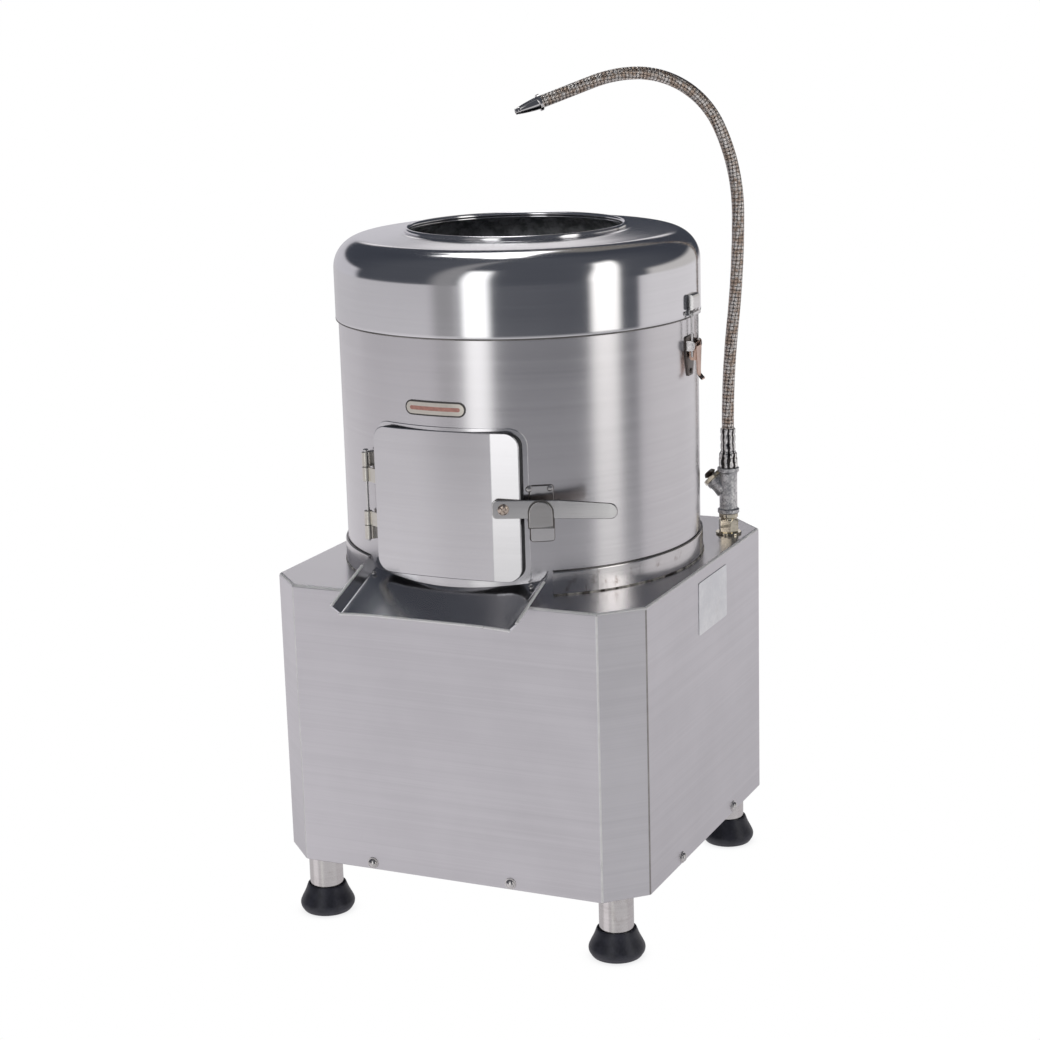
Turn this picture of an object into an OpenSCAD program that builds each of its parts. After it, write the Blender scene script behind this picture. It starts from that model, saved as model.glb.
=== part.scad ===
// Electric potato peeler: a square cabinet on four legs holds the motor and belt drive, and
// carries an abrasive-lined drum with a clamped lid, a hinged outlet door with a chute, and a
// gooseneck water spray. Origin: on the floor, under the middle of the cabinet. The front
// faces -Y. All sizes are in millimetres.

/* [Cabinet] */
// Width and depth of the square cabinet
cabinet_w = 440; // [420:5:480]
// Leg length of the 45 degree cut on each upright corner
corner_cut = 40; // [30:1:44]
// Height of the cabinet's lower edge above the floor
cabinet_z = 75; // [68:1:90]
// Height of the deck, the cabinet's top face, above the floor
deck_z = 395; // [390:1:420]
// Thickness of the cabinet's sheet
sheet = 2; // [1.5:0.1:2.5]
// Height of the upright flange of the base frame
frame_h = 30; // [24:1:40]
// Thickness of the base frame's steel
frame_t = 3; // [2.5:0.1:4]
// Distance of each leg's axis from the cabinet's sides
leg_inset = 41; // [38:1:50]
// Outside diameter of the leg tubes
leg_d = 38; // [32:1:40]
// Wall of the leg tubes
leg_wall = 2; // [1.5:0.1:3]
// Largest diameter of the rubber feet
foot_d = 62; // [58:1:66]
// Height of the rubber feet
foot_h = 32; // [28:1:36]
// Depth of the leg socket in each foot
foot_socket = 20; // [14:1:22]
// Head diameter of the bolts along the cabinet's lower edge
edge_bolt_d = 10; // [8:0.5:12]
// Half the spacing of those bolts on each face
edge_bolt_half = 84; // [70:1:100]
// Width of the access panel at the back
access_w = 280; // [240:5:300]
// Height of the access panel at the back
access_h = 160; // [140:5:170]
// Length and height of the blank rating plate
plate_size = [90, 60]; // [60:1:100]

/* [Drum] */
// Outside radius of the drum
drum_r = 200.5; // [196:0.5:204]
// Wall of the drum
drum_wall = 2; // [1.5:0.1:2.5]
// Height of the drum's upper edge above the deck
drum_h = 293; // [285:1:300]
// Height of the band around the foot of the drum
band_h = 26; // [20:1:30]
// Thickness of that band
band_t = 3; // [2:0.5:3.5]
// Thickness of the abrasive lining
liner_t = 3.5; // [3:0.5:5]
// Thickness of the drum's floor plate
floor_t = 3; // [2:0.5:3]
// Gap between the peeling disc and the lining
disc_gap = 8.8; // [4:0.2:12]
// Thickness of the peeling disc
disc_t = 7; // [6:0.5:8]
// Height of the grit waves above the grit layer
wave_h = 10; // [6:1:14]

/* [Lid] */
// Distance between the outsides of the drum and the lid
lid_step = 3; // [2.5:0.5:6]
// Thickness of the lid's sheet
lid_wall = 1.5; // [1:0.1:1.5]
// Overlap of the lid's skirt over the drum
lid_overlap = 17; // [12:1:20]
// Height of the lid from its lower edge to the crown
lid_h = 89; // [80:1:96]
// Radius of the lid's rounded shoulder
shoulder_r = 34; // [24:1:40]
// Radius of the feed opening
feed_r = 118; // [100:1:122]
// Height of the rolled rim above the crown
neck_h = 8; // [6:0.5:12]
// Radius of the bead rolled around the feed opening
bead_r = 3.2; // [2:0.2:3.6]

/* [Door and chute] */
// Width of the door, measured straight across
door_w = 171; // [160:1:174]
// Height of the door
door_h = 160; // [150:1:164]
// Height of the door's lower edge above the deck
door_lift = 18; // [17:0.5:22]
// Corner radius of the door
door_corner = 15; // [8:1:20]
// Thickness of the door's sheet
door_t = 1.5; // [1:0.1:2]
// Width of the frame strip around the door opening, beside the door
frame_margin = 4; // [3:0.5:5]
// Distance of the hinge's axis from the door's edge
hinge_side = 18; // [17:0.5:20]
// Distance of the latch screw from the door's other edge
latch_in = 17; // [15:0.5:20]
// How far the door overlaps its opening on each side
door_lap = 11.5; // [8:0.5:14]
// Radius of the hinge knuckles
knuckle_r = 4.5; // [4:0.1:4.5]
// Radius of the hinge pin
hinge_pin_r = 2; // [1.5:0.1:2.5]
// Height of the latch bar
bar_h = 20; // [16:1:22]
// Thickness of the latch bar
bar_t = 3; // [2:0.5:4]
// Length of the latch bar beyond its screw
bar_reach = 120; // [100:1:130]
// Width of the chute's floor
chute_w = 200; // [190:1:206]
// How far the chute's lip stands in front of the cabinet
chute_reach = 40; // [30:1:60]
// Slope of the chute's floor, in degrees
chute_slope = 20; // [16:1:22]
// Height of the chute's side walls
chute_wall_h = 8; // [6:0.5:8]

/* [Toggle clamps] */
// Width of each clamp's base plate
toggle_w = 30; // [28:1:34]
// Length of the lever from its pivot to its tip
toggle_lever_l = 38; // [34:1:42]
// Distance between the lever's pivot and the loop's pivot
toggle_throw = 12; // [10:0.5:13]
// Diameter of the loop's wire
toggle_wire_d = 3; // [2.5:0.1:3.2]

/* [Drive] */
// Radius of the main shaft
shaft_r = 12.5; // [11:0.5:14]
// Pitch radius of the pulley on the main shaft
disc_pitch_r = 84; // [80:1:90]
// Pitch radius of the motor pulley
motor_pitch_r = 21; // [20:0.5:23]
// Thickness of the belt
belt_t = 6; // [5:0.5:7]
// Width of the belt
belt_w = 11; // [9:0.5:13]
// Distance between the main shaft and the motor shaft
motor_y = 130; // [128:1:131]
// Radius of the motor's body over its fins
motor_r = 62; // [55:1:63]
// Height of the motor's body
motor_h = 155; // [130:1:160]
// Radius of the motor's shaft
motor_shaft_r = 9.5; // [8:0.5:11]
// Outside radius of the waste water pipe
drain_r = 25; // [20:0.5:26]
// Wall of the waste water pipe
drain_wall = 2.5; // [2:0.1:3]

/* [Spray] */
// Radius of the braided hose
hose_r = 7; // [6:0.5:8]
// Distance of the spray's upright axis from the cabinet's right side
spray_side = 25; // [22:1:28]
// Distance of that axis from the cabinet's back
spray_back = 75; // [72:1:78]
// Radius of the valve's body
valve_r = 10.3; // [9:0.1:11]
// Length of the nozzle's cone
nozzle_l = 27; // [20:1:32]

/* [Controls] */
// Width, depth and height of the switch box on the left side
switch_size = [62, 24, 96]; // [20:1:110]
// Radius of the push-buttons
button_r = 11; // [9:0.5:13]
// Travel of the push-buttons
button_travel = 4; // [3:0.5:5]

/* [Hidden] */
$fn = 72;

// Clearances
eps = 0.01;
run_gap = 0.05;      // a shaft in its bore
fit_gap = 0.2;       // a fixed piece in its hole
move_gap = 0.3;      // a moving piece beside its neighbour
bolt_gap = 0.3;      // a bolt in its hole

// Cabinet
half_w = cabinet_w / 2;
leg_place = half_w - leg_inset;        // each leg's axis, from the middle in X and in Y
under_deck = deck_z - sheet;
back_half_w = half_w - corner_cut - sheet; // half the width of the separate back panel
frame_foot = 40;                       // width of the frame's flat flange
gusset_from = 210;                     // distance of the corner gussets' inner edge from the middle
edge_shank_r = 3;
foot_neck_d = leg_d + 4;
foot_base_d = foot_d - 8;
edge_bolt_z = cabinet_z + 7;
front_bolt_shift = -11;                // the front bolts sit left of the middle
access_z = cabinet_z + 35;
plate_pos = [20, 350];                 // middle of the rating plate, in Y and Z

// Drum, from the deck up
drum_in = drum_r - drum_wall;
liner_out = drum_in - fit_gap;
liner_in = liner_out - liner_t;
disc_r = liner_in - disc_gap;
drum_top = deck_z + drum_h;
floor_top = deck_z + floor_t;
bolt_d = 8;
bolt_head_h = 5.3;
bolt_head_d = 14;
disc_z = floor_top + bolt_head_h + 3.7;
disc_top = disc_z + disc_t;
grit_t = 3;
grit_top = disc_top + grit_t;
hub_r = 28;
spigot_r = 30;
spigot_top = floor_top + 1;
seal_h = 3.5;
hub_z = spigot_top + seal_h + 0.5;
thread_r = 9;
nut_top = grit_top + 12;
nut_cap = 4;                           // length of the nut beyond the shaft's thread

// Door, frame and latch
door_z = deck_z + door_lift + door_h / 2;
window_w = door_w - 2 * door_lap;
window_h = door_h - 12;
frame_r = drum_r + 1.7;
door_in = frame_r + 1;
door_out = frame_r + 5;
sill_drop = 14;                        // the frame's strip below the door
hinge_r = frame_r + knuckle_r + move_gap;
hinge_turn = -90 - asin((door_w / 2 + hinge_side) / hinge_r);
knuckle_h = 16;                        // length of each knuckle
hinge_up = 30.5;                       // height of the upper joint above the door's middle
hinge_down = -34;                      // height of the lower joint
bar_n = door_out + 1.8;                // distance of the bar's inner face from the drum's axis
latch_turn = -90 + asin((door_w / 2 - latch_in) / (bar_n + bar_t / 2));
latch_z = door_z;
bar_tail = 12;
latch_screw_r = 3;
keeper_s = latch_in + 10;              // start and width of the keeper, along the bar
keeper_w = 25;
keeper_floor = -bar_h / 2 - 7;         // top of the keeper's shelf, below the bar
keeper_tip = bar_h / 2 - 1;            // top of the tongue in front of the bar
keeper_t = 2;
badge_turn = -92.2;
badge_z = deck_z + 201;

// Chute
lip_y = -half_w - chute_reach;
chute_t = 1.5;
lip_z = deck_z + chute_t / cos(chute_slope) + 0.4 - chute_reach * tan(chute_slope);
chute_l = 92;
chute_flare = 9;

// Lid
lid_r = drum_r + lid_step;
lid_z = drum_top - lid_overlap;
crown_z = lid_z + lid_h;
crown_rise = 3;
rim_z = crown_z + neck_h;
ledge_z = drum_top + move_gap + 3;
neck_r = feed_r + 12;

// Toggle clamps
toggle_turn = 2;
toggle_z = lid_z - 31;                 // height of the lever's pivot
toggle_n = lid_r + 3.5;                // distance of both pivots from the drum's axis
toggle_pin_r = 1.5;
ear_t = 1.5;
ear_x = toggle_w / 2 - 3;              // inner face of each ear
loop_x = toggle_w / 2 + 0.5;           // middle of each arm of the loop
cheek_x = ear_x - move_gap - ear_t;
bar_rise = lid_z + 5;                  // height of the loop's crossbar
catch_w = 22;

// Drive
belt_z = 266;
pulley_h = belt_w + 9;
groove_gap = 0.3;
shaft_z = belt_z - pulley_h / 2 - 6;
rim_over = 3;
tray_z = cabinet_z + frame_t;
tray_t = 3;
motor_z = tray_z + tray_t;
motor_flange_r = 80;
motor_bolt_r = 71;
bearing_bolt_r = 60;
housing_r = 45;
housing_flange_r = 75;
housing_flange_t = 8;
housing_z = 300;
bearing_r = 26;
bearing_h = 15;
drain_x = -80;
drain_y = 140;
drain_z = 335;
drain_reach = 42;

// Spray
spray_x = half_w - spray_side;
spray_y = half_w - spray_back;
spray_turn = atan2(-spray_y, -spray_x);
nipple_r = 8;
nipple_bore = 5;
supply_r = 12;                         // way for the supply hose, under the nipple
nipple_top = deck_z + 25;
nipple_end = deck_z - 45;
nipple_hex = 24;
valve_top = nipple_top + 54;
branch_z = nipple_top + 22;
branch_r = 8.5;
branch_l = 24;
hose_z = valve_top + 46;
// Bends of the hose from its ferrule up: radius and turn, positive towards the drum
hose_bends = [[1106, -6.4], [1106, 6.4], [232, 25], [107, 65], [150, 18.5]];
hose_tail = 61;                        // straight length after the last bend
hose_step = 14;                        // largest distance between the rings of the hose

// A state of the hose is its distance towards the drum, its height and its heading
function bend_part(p, bend, part = 1) = let (a = abs(bend[1]) * part, side = sign(bend[1]),
    out = side * bend[0] * (1 - cos(a)), up = bend[0] * sin(a))
    [p[0] + out * cos(p[2]) + up * sin(p[2]), p[1] - out * sin(p[2]) + up * cos(p[2]), p[2] + side * a];
function hose_state(n) = n == 0 ? [0, 0, 0] : bend_part(hose_state(n - 1), hose_bends[n - 1]);
function bend_rings(bend) = ceil(bend[0] * abs(bend[1]) * PI / 180 / hose_step);
hose_rings = concat([for (i = [0:len(hose_bends) - 1], k = [0:bend_rings(hose_bends[i]) - 1])
    bend_part(hose_state(i), hose_bends[i], k / bend_rings(hose_bends[i]))], [hose_state(len(hose_bends))]);
hose_bent = hose_state(len(hose_bends));
hose_end = [hose_bent[0] + hose_tail * sin(hose_bent[2]), hose_bent[1] + hose_tail * cos(hose_bent[2]),
    hose_bent[2]];

// Controls
switch_pos = [-75, 325];               // middle of the switch box, in Y and Z
button_step = 40;
button_out = 6;
gland_pos = [120, 320];                // cable gland, in X and Z
cable_r = 4.5;

STEEL = [0.72, 0.71, 0.73];
DARK_STEEL = [0.45, 0.45, 0.47];
RUBBER = [0.16, 0.16, 0.18];
BRASS = [0.78, 0.62, 0.32];
IRON = [0.33, 0.36, 0.40];

// ---- Helpers ----

// Upright square outline with cut corners, inset by a wall
module cabinet_outline(inset = 0) {
    w = half_w - inset;
    c = w - corner_cut + inset * (sqrt(2) - 1);
    polygon([[w, -c], [w, c], [c, w], [-c, w], [-w, c], [-w, -c], [-c, -w], [c, -w]]);
}

module rounded_rect(w, h, r) {
    square([w - 2 * r, h], center = true);
    square([w, h - 2 * r], center = true);
    for (x = [-1, 1], y = [-1, 1])
        translate([x * (w / 2 - r), y * (h / 2 - r)]) circle(r);
}

module ring(outer, inner, h) {
    difference() {
        cylinder(r = outer, h = h);
        translate([0, 0, -1]) cylinder(r = inner, h = h + 2);
    }
}

// Frame on the drum: local X runs to the right, Y up and Z outwards from the drum's axis
module facing(turn, z) {
    rotate([0, 0, turn + 90]) translate([0, 0, z]) rotate([90, 0, 0]) children();
}

module at_legs() {
    for (x = [-1, 1], y = [-1, 1]) translate([x * leg_place, y * leg_place, 0]) children();
}

// Block in front of the drum with the rounded outline of the door
module door_block(w, h, r, z = door_z) {
    translate([0, -drum_r / 2, z]) rotate([90, 0, 0])
        linear_extrude(drum_r) rounded_rect(w, h, r);
}

module pan_head(d, h) {
    cylinder(d = d, h = h * 0.45);
    translate([0, 0, h * 0.45]) cylinder(d1 = d, d2 = d * 0.6, h = h * 0.55);
}

// Places of the bolts along the lower edge, each with local Z pointing out of the face
module at_edge_bolts() {
    for (side = [0:3], s = [-1, 1])
        rotate([0, 0, side * 90])
            translate([s * edge_bolt_half + (side == 0 ? front_bolt_shift : 0), -half_w, edge_bolt_z])
                rotate([90, 0, 0]) children();
}

module at_access_screws() {
    for (x = [-1, 1], z = [-1, 1])
        translate([x * (access_w / 2 - 9), half_w, access_z + access_h / 2 + z * (access_h / 2 - 9)])
            rotate([-90, 0, 0]) children();
}

module at_bearing_bolts() {
    for (a = [45:90:359]) rotate([0, 0, a]) translate([bearing_bolt_r, 0, 0]) children();
}

module at_motor_bolts() {
    translate([0, motor_y, 0])
        for (a = [45:90:359]) rotate([0, 0, a]) translate([motor_bolt_r, 0, 0]) children();
}

// ---- Cabinet ----

module cabinet_walls() {
    difference() {
        translate([0, 0, cabinet_z]) linear_extrude(under_deck - cabinet_z) difference() {
            cabinet_outline();
            cabinet_outline(sheet);
        }
        translate([drain_x, half_w - sheet - 1, drain_z]) rotate([-90, 0, 0])
            cylinder(r = drain_r + fit_gap, h = sheet + 2);
        translate([-access_w / 2 + 18, half_w - sheet - 1, access_z + 18])
            cube([access_w - 36, sheet + 2, access_h - 36]);
        translate([gland_pos[0], half_w - sheet - 1, gland_pos[1]]) rotate([-90, 0, 0])
            cylinder(r = nipple_r + fit_gap, h = sheet + 2);
        at_edge_bolts() translate([0, 0, -sheet - 1]) cylinder(r = edge_shank_r + bolt_gap, h = sheet + 2);
        at_access_screws() translate([0, 0, -sheet - 1]) cylinder(r = 2 + bolt_gap, h = sheet + 2);
    }
}

// The flat part of the rear wall, a sheet of its own between the two rear corners
module back_space() {
    translate([-back_half_w, half_w - 2 * sheet, 0]) cube([2 * back_half_w, 3 * sheet, deck_z]);
}

module base_housing() {
    color(STEEL) difference() {
        cabinet_walls();
        back_space();
    }
}

module back_panel() {
    color(STEEL) intersection() {
        cabinet_walls();
        back_space();
    }
}

module deck_plate() {
    color(STEEL) translate([0, 0, under_deck]) difference() {
        linear_extrude(sheet) cabinet_outline();
        translate([0, 0, -1]) cylinder(r = spigot_r + fit_gap, h = sheet + 2);
        at_bearing_bolts() translate([0, 0, -1]) cylinder(d = bolt_d + 2 * bolt_gap, h = sheet + 2);
        translate([drain_x, drain_y, -1]) cylinder(r = drain_r + fit_gap, h = sheet + 2);
        translate([spray_x, spray_y, -1]) cylinder(r = nipple_r + fit_gap, h = sheet + 2);
    }
}

module base_frame() {
    color(DARK_STEEL) difference() {
        translate([0, 0, cabinet_z]) union() {
            linear_extrude(frame_h) difference() {
                cabinet_outline(sheet);
                cabinet_outline(sheet + frame_t);
            }
            linear_extrude(frame_t) difference() {
                cabinet_outline(sheet);
                difference() {
                    square(cabinet_w - 2 * frame_foot, center = true);
                    for (a = [45:90:359]) rotate(a)
                        translate([gusset_from, -half_w]) square([half_w, cabinet_w]);
                }
            }
        }
        at_edge_bolts() translate([0, 0, -sheet - frame_t - 1])
            cylinder(r = edge_shank_r + bolt_gap, h = sheet + frame_t + 2);
        translate([spray_x, spray_y, cabinet_z - 1]) cylinder(r = supply_r, h = frame_t + 2);
    }
}

module leg_tubes() {
    color(STEEL) at_legs() translate([0, 0, foot_h - foot_socket])
        ring(leg_d / 2, leg_d / 2 - leg_wall, cabinet_z - foot_h + foot_socket);
}

// One bell-shaped foot: a flat sole, a bulge, a waist and a collar around the leg
module foot() {
    bulge = 9;
    rotate_extrude() difference() {
        union() {
            square([foot_base_d / 2, bulge]);
            translate([foot_d / 2 - bulge, bulge]) circle(bulge);
            square([foot_d / 2 - bulge, 2 * bulge]);
            translate([0, bulge]) polygon([[0, 0], [foot_d / 2, 0], [foot_d / 2 - 1.5, 4],
                [foot_neck_d / 2 + 2, 15], [foot_neck_d / 2, foot_h - bulge], [0, foot_h - bulge]]);
        }
        translate([0, foot_h - foot_socket]) square([leg_d / 2 + fit_gap, foot_socket + 1]);
        translate([0, -bulge]) square([foot_d, bulge]);
    }
}

module rubber_feet() {
    color(RUBBER) at_legs() foot();
}

module edge_bolts() {
    color(STEEL) at_edge_bolts() {
        pan_head(edge_bolt_d, 4.5);
        translate([0, 0, -sheet - frame_t - 4]) cylinder(r = edge_shank_r, h = sheet + frame_t + 4);
    }
}

module access_panel() {
    slot_w = access_w * 0.32;
    color(STEEL) difference() {
        translate([0, half_w + 1.5, access_z + access_h / 2]) rotate([90, 0, 0])
            linear_extrude(1.5) rounded_rect(access_w, access_h, 6);
        for (x = [-1, 1], z = [30:13:access_h - 28])
            translate([x * access_w * 0.2 - slot_w / 2, half_w - 1, access_z + z]) cube([slot_w, 4, 5]);
        at_access_screws() translate([0, 0, -1]) cylinder(r = 2 + bolt_gap, h = 4);
    }
}

module access_screws() {
    color(STEEL) at_access_screws() {
        translate([0, 0, 1.5]) pan_head(8, 3);
        translate([0, 0, -sheet - 4]) cylinder(r = 2, h = sheet + 5.5 + eps);
    }
}

module rating_plate() {
    color([0.86, 0.87, 0.88]) translate([half_w, plate_pos[0], plate_pos[1]])
        rotate([90, 0, 90]) linear_extrude(0.8) rounded_rect(plate_size[0], plate_size[1], 3);
}

// ---- Drive ----

module motor_tray() {
    color(DARK_STEEL) translate([0, 0, tray_z]) difference() {
        linear_extrude(tray_t) intersection() {
            cabinet_outline(sheet + frame_t + 5);
            translate([-half_w, motor_y - motor_flange_r - 2]) square([cabinet_w, half_w]);
        }
        at_motor_bolts() translate([0, 0, -1]) cylinder(d = bolt_d + 2 * bolt_gap, h = tray_t + 2);
        translate([spray_x, spray_y, -1]) cylinder(r = supply_r, h = tray_t + 2);
    }
}

module motor_body() {
    core_r = motor_r - 5;
    color(IRON) translate([0, motor_y, motor_z]) difference() {
        union() {
            cylinder(r = motor_flange_r, h = 6);
            cylinder(r = core_r, h = motor_h - 10);
            for (a = [0:15:359]) rotate([0, 0, a]) translate([core_r - 1, -1.25, 6])
                cube([motor_r - core_r + 1, 2.5, motor_h - 26]);
            translate([0, 0, motor_h - 10]) cylinder(r1 = core_r, r2 = core_r - 12, h = 10);
        }
        translate([0, 0, motor_h - 34]) cylinder(r = motor_shaft_r + run_gap, h = 36);
        rotate([0, 0, 45]) for (a = [0:90:359]) rotate([0, 0, a]) translate([motor_bolt_r, 0, -1])
            cylinder(d = bolt_d + 2 * bolt_gap, h = 8);
    }
}

module terminal_box() {
    color(IRON) translate([motor_r - 4, motor_y, motor_z + 90]) difference() {
        translate([0, -24, -20]) cube([28, 48, 40]);
        translate([4 - motor_r, 0, -21]) cylinder(r = motor_r + fit_gap, h = 42);
    }
}

module motor_shaft() {
    color(STEEL) translate([0, motor_y, motor_z + motor_h - 32])
        cylinder(r = motor_shaft_r, h = belt_z + pulley_h / 2 + 4 - (motor_z + motor_h - 32));
}

// Grooved pulley around the Z axis, centred on the belt
module pulley(pitch, bore) {
    floor_r = pitch - belt_t / 2 - groove_gap;
    translate([0, 0, belt_z - pulley_h / 2]) difference() {
        cylinder(r = pitch + belt_t / 2 + rim_over, h = pulley_h);
        translate([0, 0, -1]) cylinder(r = bore, h = pulley_h + 2);
        translate([0, 0, (pulley_h - belt_w) / 2 - 0.5])
            ring(pitch + belt_t + rim_over, floor_r, belt_w + 1);
    }
}

module motor_pulley() {
    color(DARK_STEEL) translate([0, motor_y, 0]) pulley(motor_pitch_r, motor_shaft_r + run_gap);
}

module disc_pulley() {
    color(DARK_STEEL) difference() {
        pulley(disc_pitch_r, shaft_r + run_gap);
        for (z = [-1, 1]) translate([0, 0, belt_z + z * (pulley_h / 2) - 6])
            ring(disc_pitch_r - 14, hub_r, 12);
    }
}

// Outline around both pulleys, at a distance from the pitch line
module belt_outline(off) {
    ra = disc_pitch_r + off;
    rb = motor_pitch_r + off;
    ny = (disc_pitch_r - motor_pitch_r) / motor_y;
    nx = sqrt(1 - ny * ny);
    circle(ra);
    translate([0, motor_y]) circle(rb);
    polygon([[ra * nx, ra * ny], [rb * nx, motor_y + rb * ny], [-rb * nx, motor_y + rb * ny],
        [-ra * nx, ra * ny]]);
}

module drive_belt() {
    color(RUBBER) translate([0, 0, belt_z - belt_w / 2]) linear_extrude(belt_w) difference() {
        belt_outline(belt_t / 2);
        belt_outline(-belt_t / 2);
    }
}

module main_shaft() {
    color(STEEL) union() {
        translate([0, 0, shaft_z]) cylinder(r = shaft_r, h = disc_z - shaft_z);
        translate([0, 0, disc_z - 1]) cylinder(r = thread_r, h = nut_top - nut_cap - disc_z + 1);
    }
}

module bearing_housing() {
    color(IRON) difference() {
        union() {
            translate([0, 0, housing_z]) cylinder(r = housing_r, h = under_deck - housing_z);
            translate([0, 0, under_deck - housing_flange_t])
                cylinder(r = housing_flange_r, h = housing_flange_t);
            cylinder(r = spigot_r, h = spigot_top);
        }
        translate([0, 0, -1]) cylinder(r = spigot_r + 1, h = housing_z + 1);
        translate([0, 0, housing_z - 1]) cylinder(r = shaft_r + 1, h = spigot_top - housing_z + 2);
        for (z = [housing_z, under_deck - bearing_h]) translate([0, 0, z - (z == housing_z ? 1 : 0)])
            cylinder(r = bearing_r, h = bearing_h + (z == housing_z ? 1 : 0));
        at_bearing_bolts() translate([0, 0, under_deck - housing_flange_t - 1])
            cylinder(d = bolt_d + 2 * bolt_gap, h = housing_flange_t + 2);
    }
}

module shaft_bearings() {
    color(STEEL) for (z = [housing_z, under_deck - bearing_h]) translate([0, 0, z]) difference() {
        ring(bearing_r - run_gap, shaft_r + run_gap, bearing_h);
        for (e = [-1, bearing_h - 1]) translate([0, 0, e]) ring(bearing_r - 4, shaft_r + 4, 2);
    }
}

module shaft_seal() {
    color(RUBBER) translate([0, 0, spigot_top]) ring(spigot_r - 6, shaft_r + run_gap, seal_h);
}

module hex_bolt(shank) {
    cylinder(d = bolt_head_d, h = bolt_head_h, $fn = 6);
    translate([0, 0, -shank]) cylinder(d = bolt_d, h = shank);
}

module drive_bolts() {
    color(STEEL) {
        at_bearing_bolts() translate([0, 0, floor_top]) hex_bolt(floor_t + sheet + housing_flange_t);
        at_motor_bolts() translate([0, 0, motor_z + 6]) hex_bolt(6 + tray_t);
    }
}

module run_capacitor() {
    can_r = 18;
    can_h = 74;
    cap_h = 5;
    color([0.85, 0.85, 0.82]) translate([-motor_flange_r - can_r - 22, motor_y, motor_z]) {
        cylinder(r = can_r, h = can_h);
        translate([0, 0, can_h]) cylinder(r = can_r - 3, h = cap_h);
        for (x = [-6, 6]) translate([x - 0.4, -3, can_h + cap_h]) cube([0.8, 6, 9]);
    }
}

module cable_gland() {
    color(RUBBER) translate([gland_pos[0], half_w, gland_pos[1]]) rotate([-90, 0, 0]) difference() {
        union() {
            translate([0, 0, -sheet - 10]) cylinder(r = nipple_r, h = sheet + 10);
            translate([0, 0, -sheet - 6]) cylinder(r = 12, h = 6, $fn = 6);
            cylinder(r = 12, h = 6, $fn = 6);
            translate([0, 0, 6]) cylinder(r = 10, h = 9);
            translate([0, 0, 15]) cylinder(r1 = 10, r2 = 6.5, h = 5);
        }
        translate([0, 0, -sheet - 11]) cylinder(r = cable_r, h = sheet + 40);
    }
}

module drain_pipe() {
    inner = drain_r - drain_wall;
    elbow_z = drain_z - drain_r;
    exit_l = half_w + drain_reach - drain_y;
    color(STEEL) translate([drain_x, drain_y, 0]) difference() {
        union() {
            translate([0, 0, elbow_z]) cylinder(r = drain_r, h = floor_top - elbow_z);
            translate([0, 0, floor_top]) cylinder(r = drain_r + 6, h = 1.5);
            translate([0, 0, drain_z]) rotate([-90, 0, 0]) cylinder(r = drain_r, h = exit_l);
            translate([0, half_w - drain_y, drain_z]) rotate([-90, 0, 0]) cylinder(r = drain_r + 6, h = 2);
        }
        translate([0, 0, drain_z]) cylinder(r = inner, h = floor_top - drain_z + 5);
        translate([0, 0, drain_z]) sphere(r = inner);
        translate([0, 0, drain_z]) rotate([-90, 0, 0]) cylinder(r = inner, h = exit_l + 1);
    }
}

// ---- Controls ----

module at_button(step) {
    translate([-half_w - switch_size[1], switch_pos[0], switch_pos[1] + step * button_step / 2])
        rotate([0, -90, 0]) children();
}

module switch_box() {
    color([0.2, 0.2, 0.22]) difference() {
        translate([-half_w, switch_pos[0], switch_pos[1]]) rotate([90, 0, -90])
            linear_extrude(switch_size[1]) rounded_rect(switch_size[0], switch_size[2], 6);
        for (s = [-1, 1]) at_button(s) translate([0, 0, -14]) cylinder(r = button_r + fit_gap, h = 15);
    }
}

module push_button(step, head) {
    at_button(step) {
        translate([0, 0, -14 + button_travel + move_gap])
            cylinder(r = button_r, h = 14 - button_travel - move_gap + button_out);
        if (head > button_r) translate([0, 0, button_out]) cylinder(r1 = head - 2, r2 = head, h = 3);
        if (head > button_r) translate([0, 0, button_out + 3]) cylinder(r1 = head, r2 = head - 4, h = 4);
    }
}

module start_button() {
    color([0.12, 0.5, 0.22]) push_button(1, button_r);
}

module stop_button() {
    color([0.7, 0.1, 0.1]) push_button(-1, button_r + 3.5);
}

// ---- Drum ----

module drum_shell() {
    color(STEEL) difference() {
        translate([0, 0, deck_z]) ring(drum_r, drum_in, drum_h);
        door_block(window_w, window_h, door_corner);
    }
}

module drum_band() {
    gap_x = chute_w / 2 + chute_flare + 2;
    color(STEEL) translate([0, 0, deck_z]) difference() {
        ring(drum_r + band_t, drum_r, band_h);
        translate([-gap_x, -drum_r - 20, -1]) cube([2 * gap_x, drum_r, band_h + 2]);
    }
}

module drum_floor() {
    color(STEEL) translate([0, 0, deck_z]) difference() {
        cylinder(r = drum_in - fit_gap, h = floor_t);
        translate([0, 0, -1]) cylinder(r = spigot_r + fit_gap, h = floor_t + 2);
        translate([drain_x, drain_y, -1]) cylinder(r = drain_r + fit_gap, h = floor_t + 2);
        at_bearing_bolts() translate([0, 0, -1]) cylinder(d = bolt_d + 2 * bolt_gap, h = floor_t + 2);
    }
}

module abrasive_liner() {
    color([0.30, 0.29, 0.30]) difference() {
        translate([0, 0, floor_top]) ring(liner_out, liner_in, drum_top - floor_top - 8);
        door_block(window_w, window_h, door_corner);
    }
}

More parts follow.
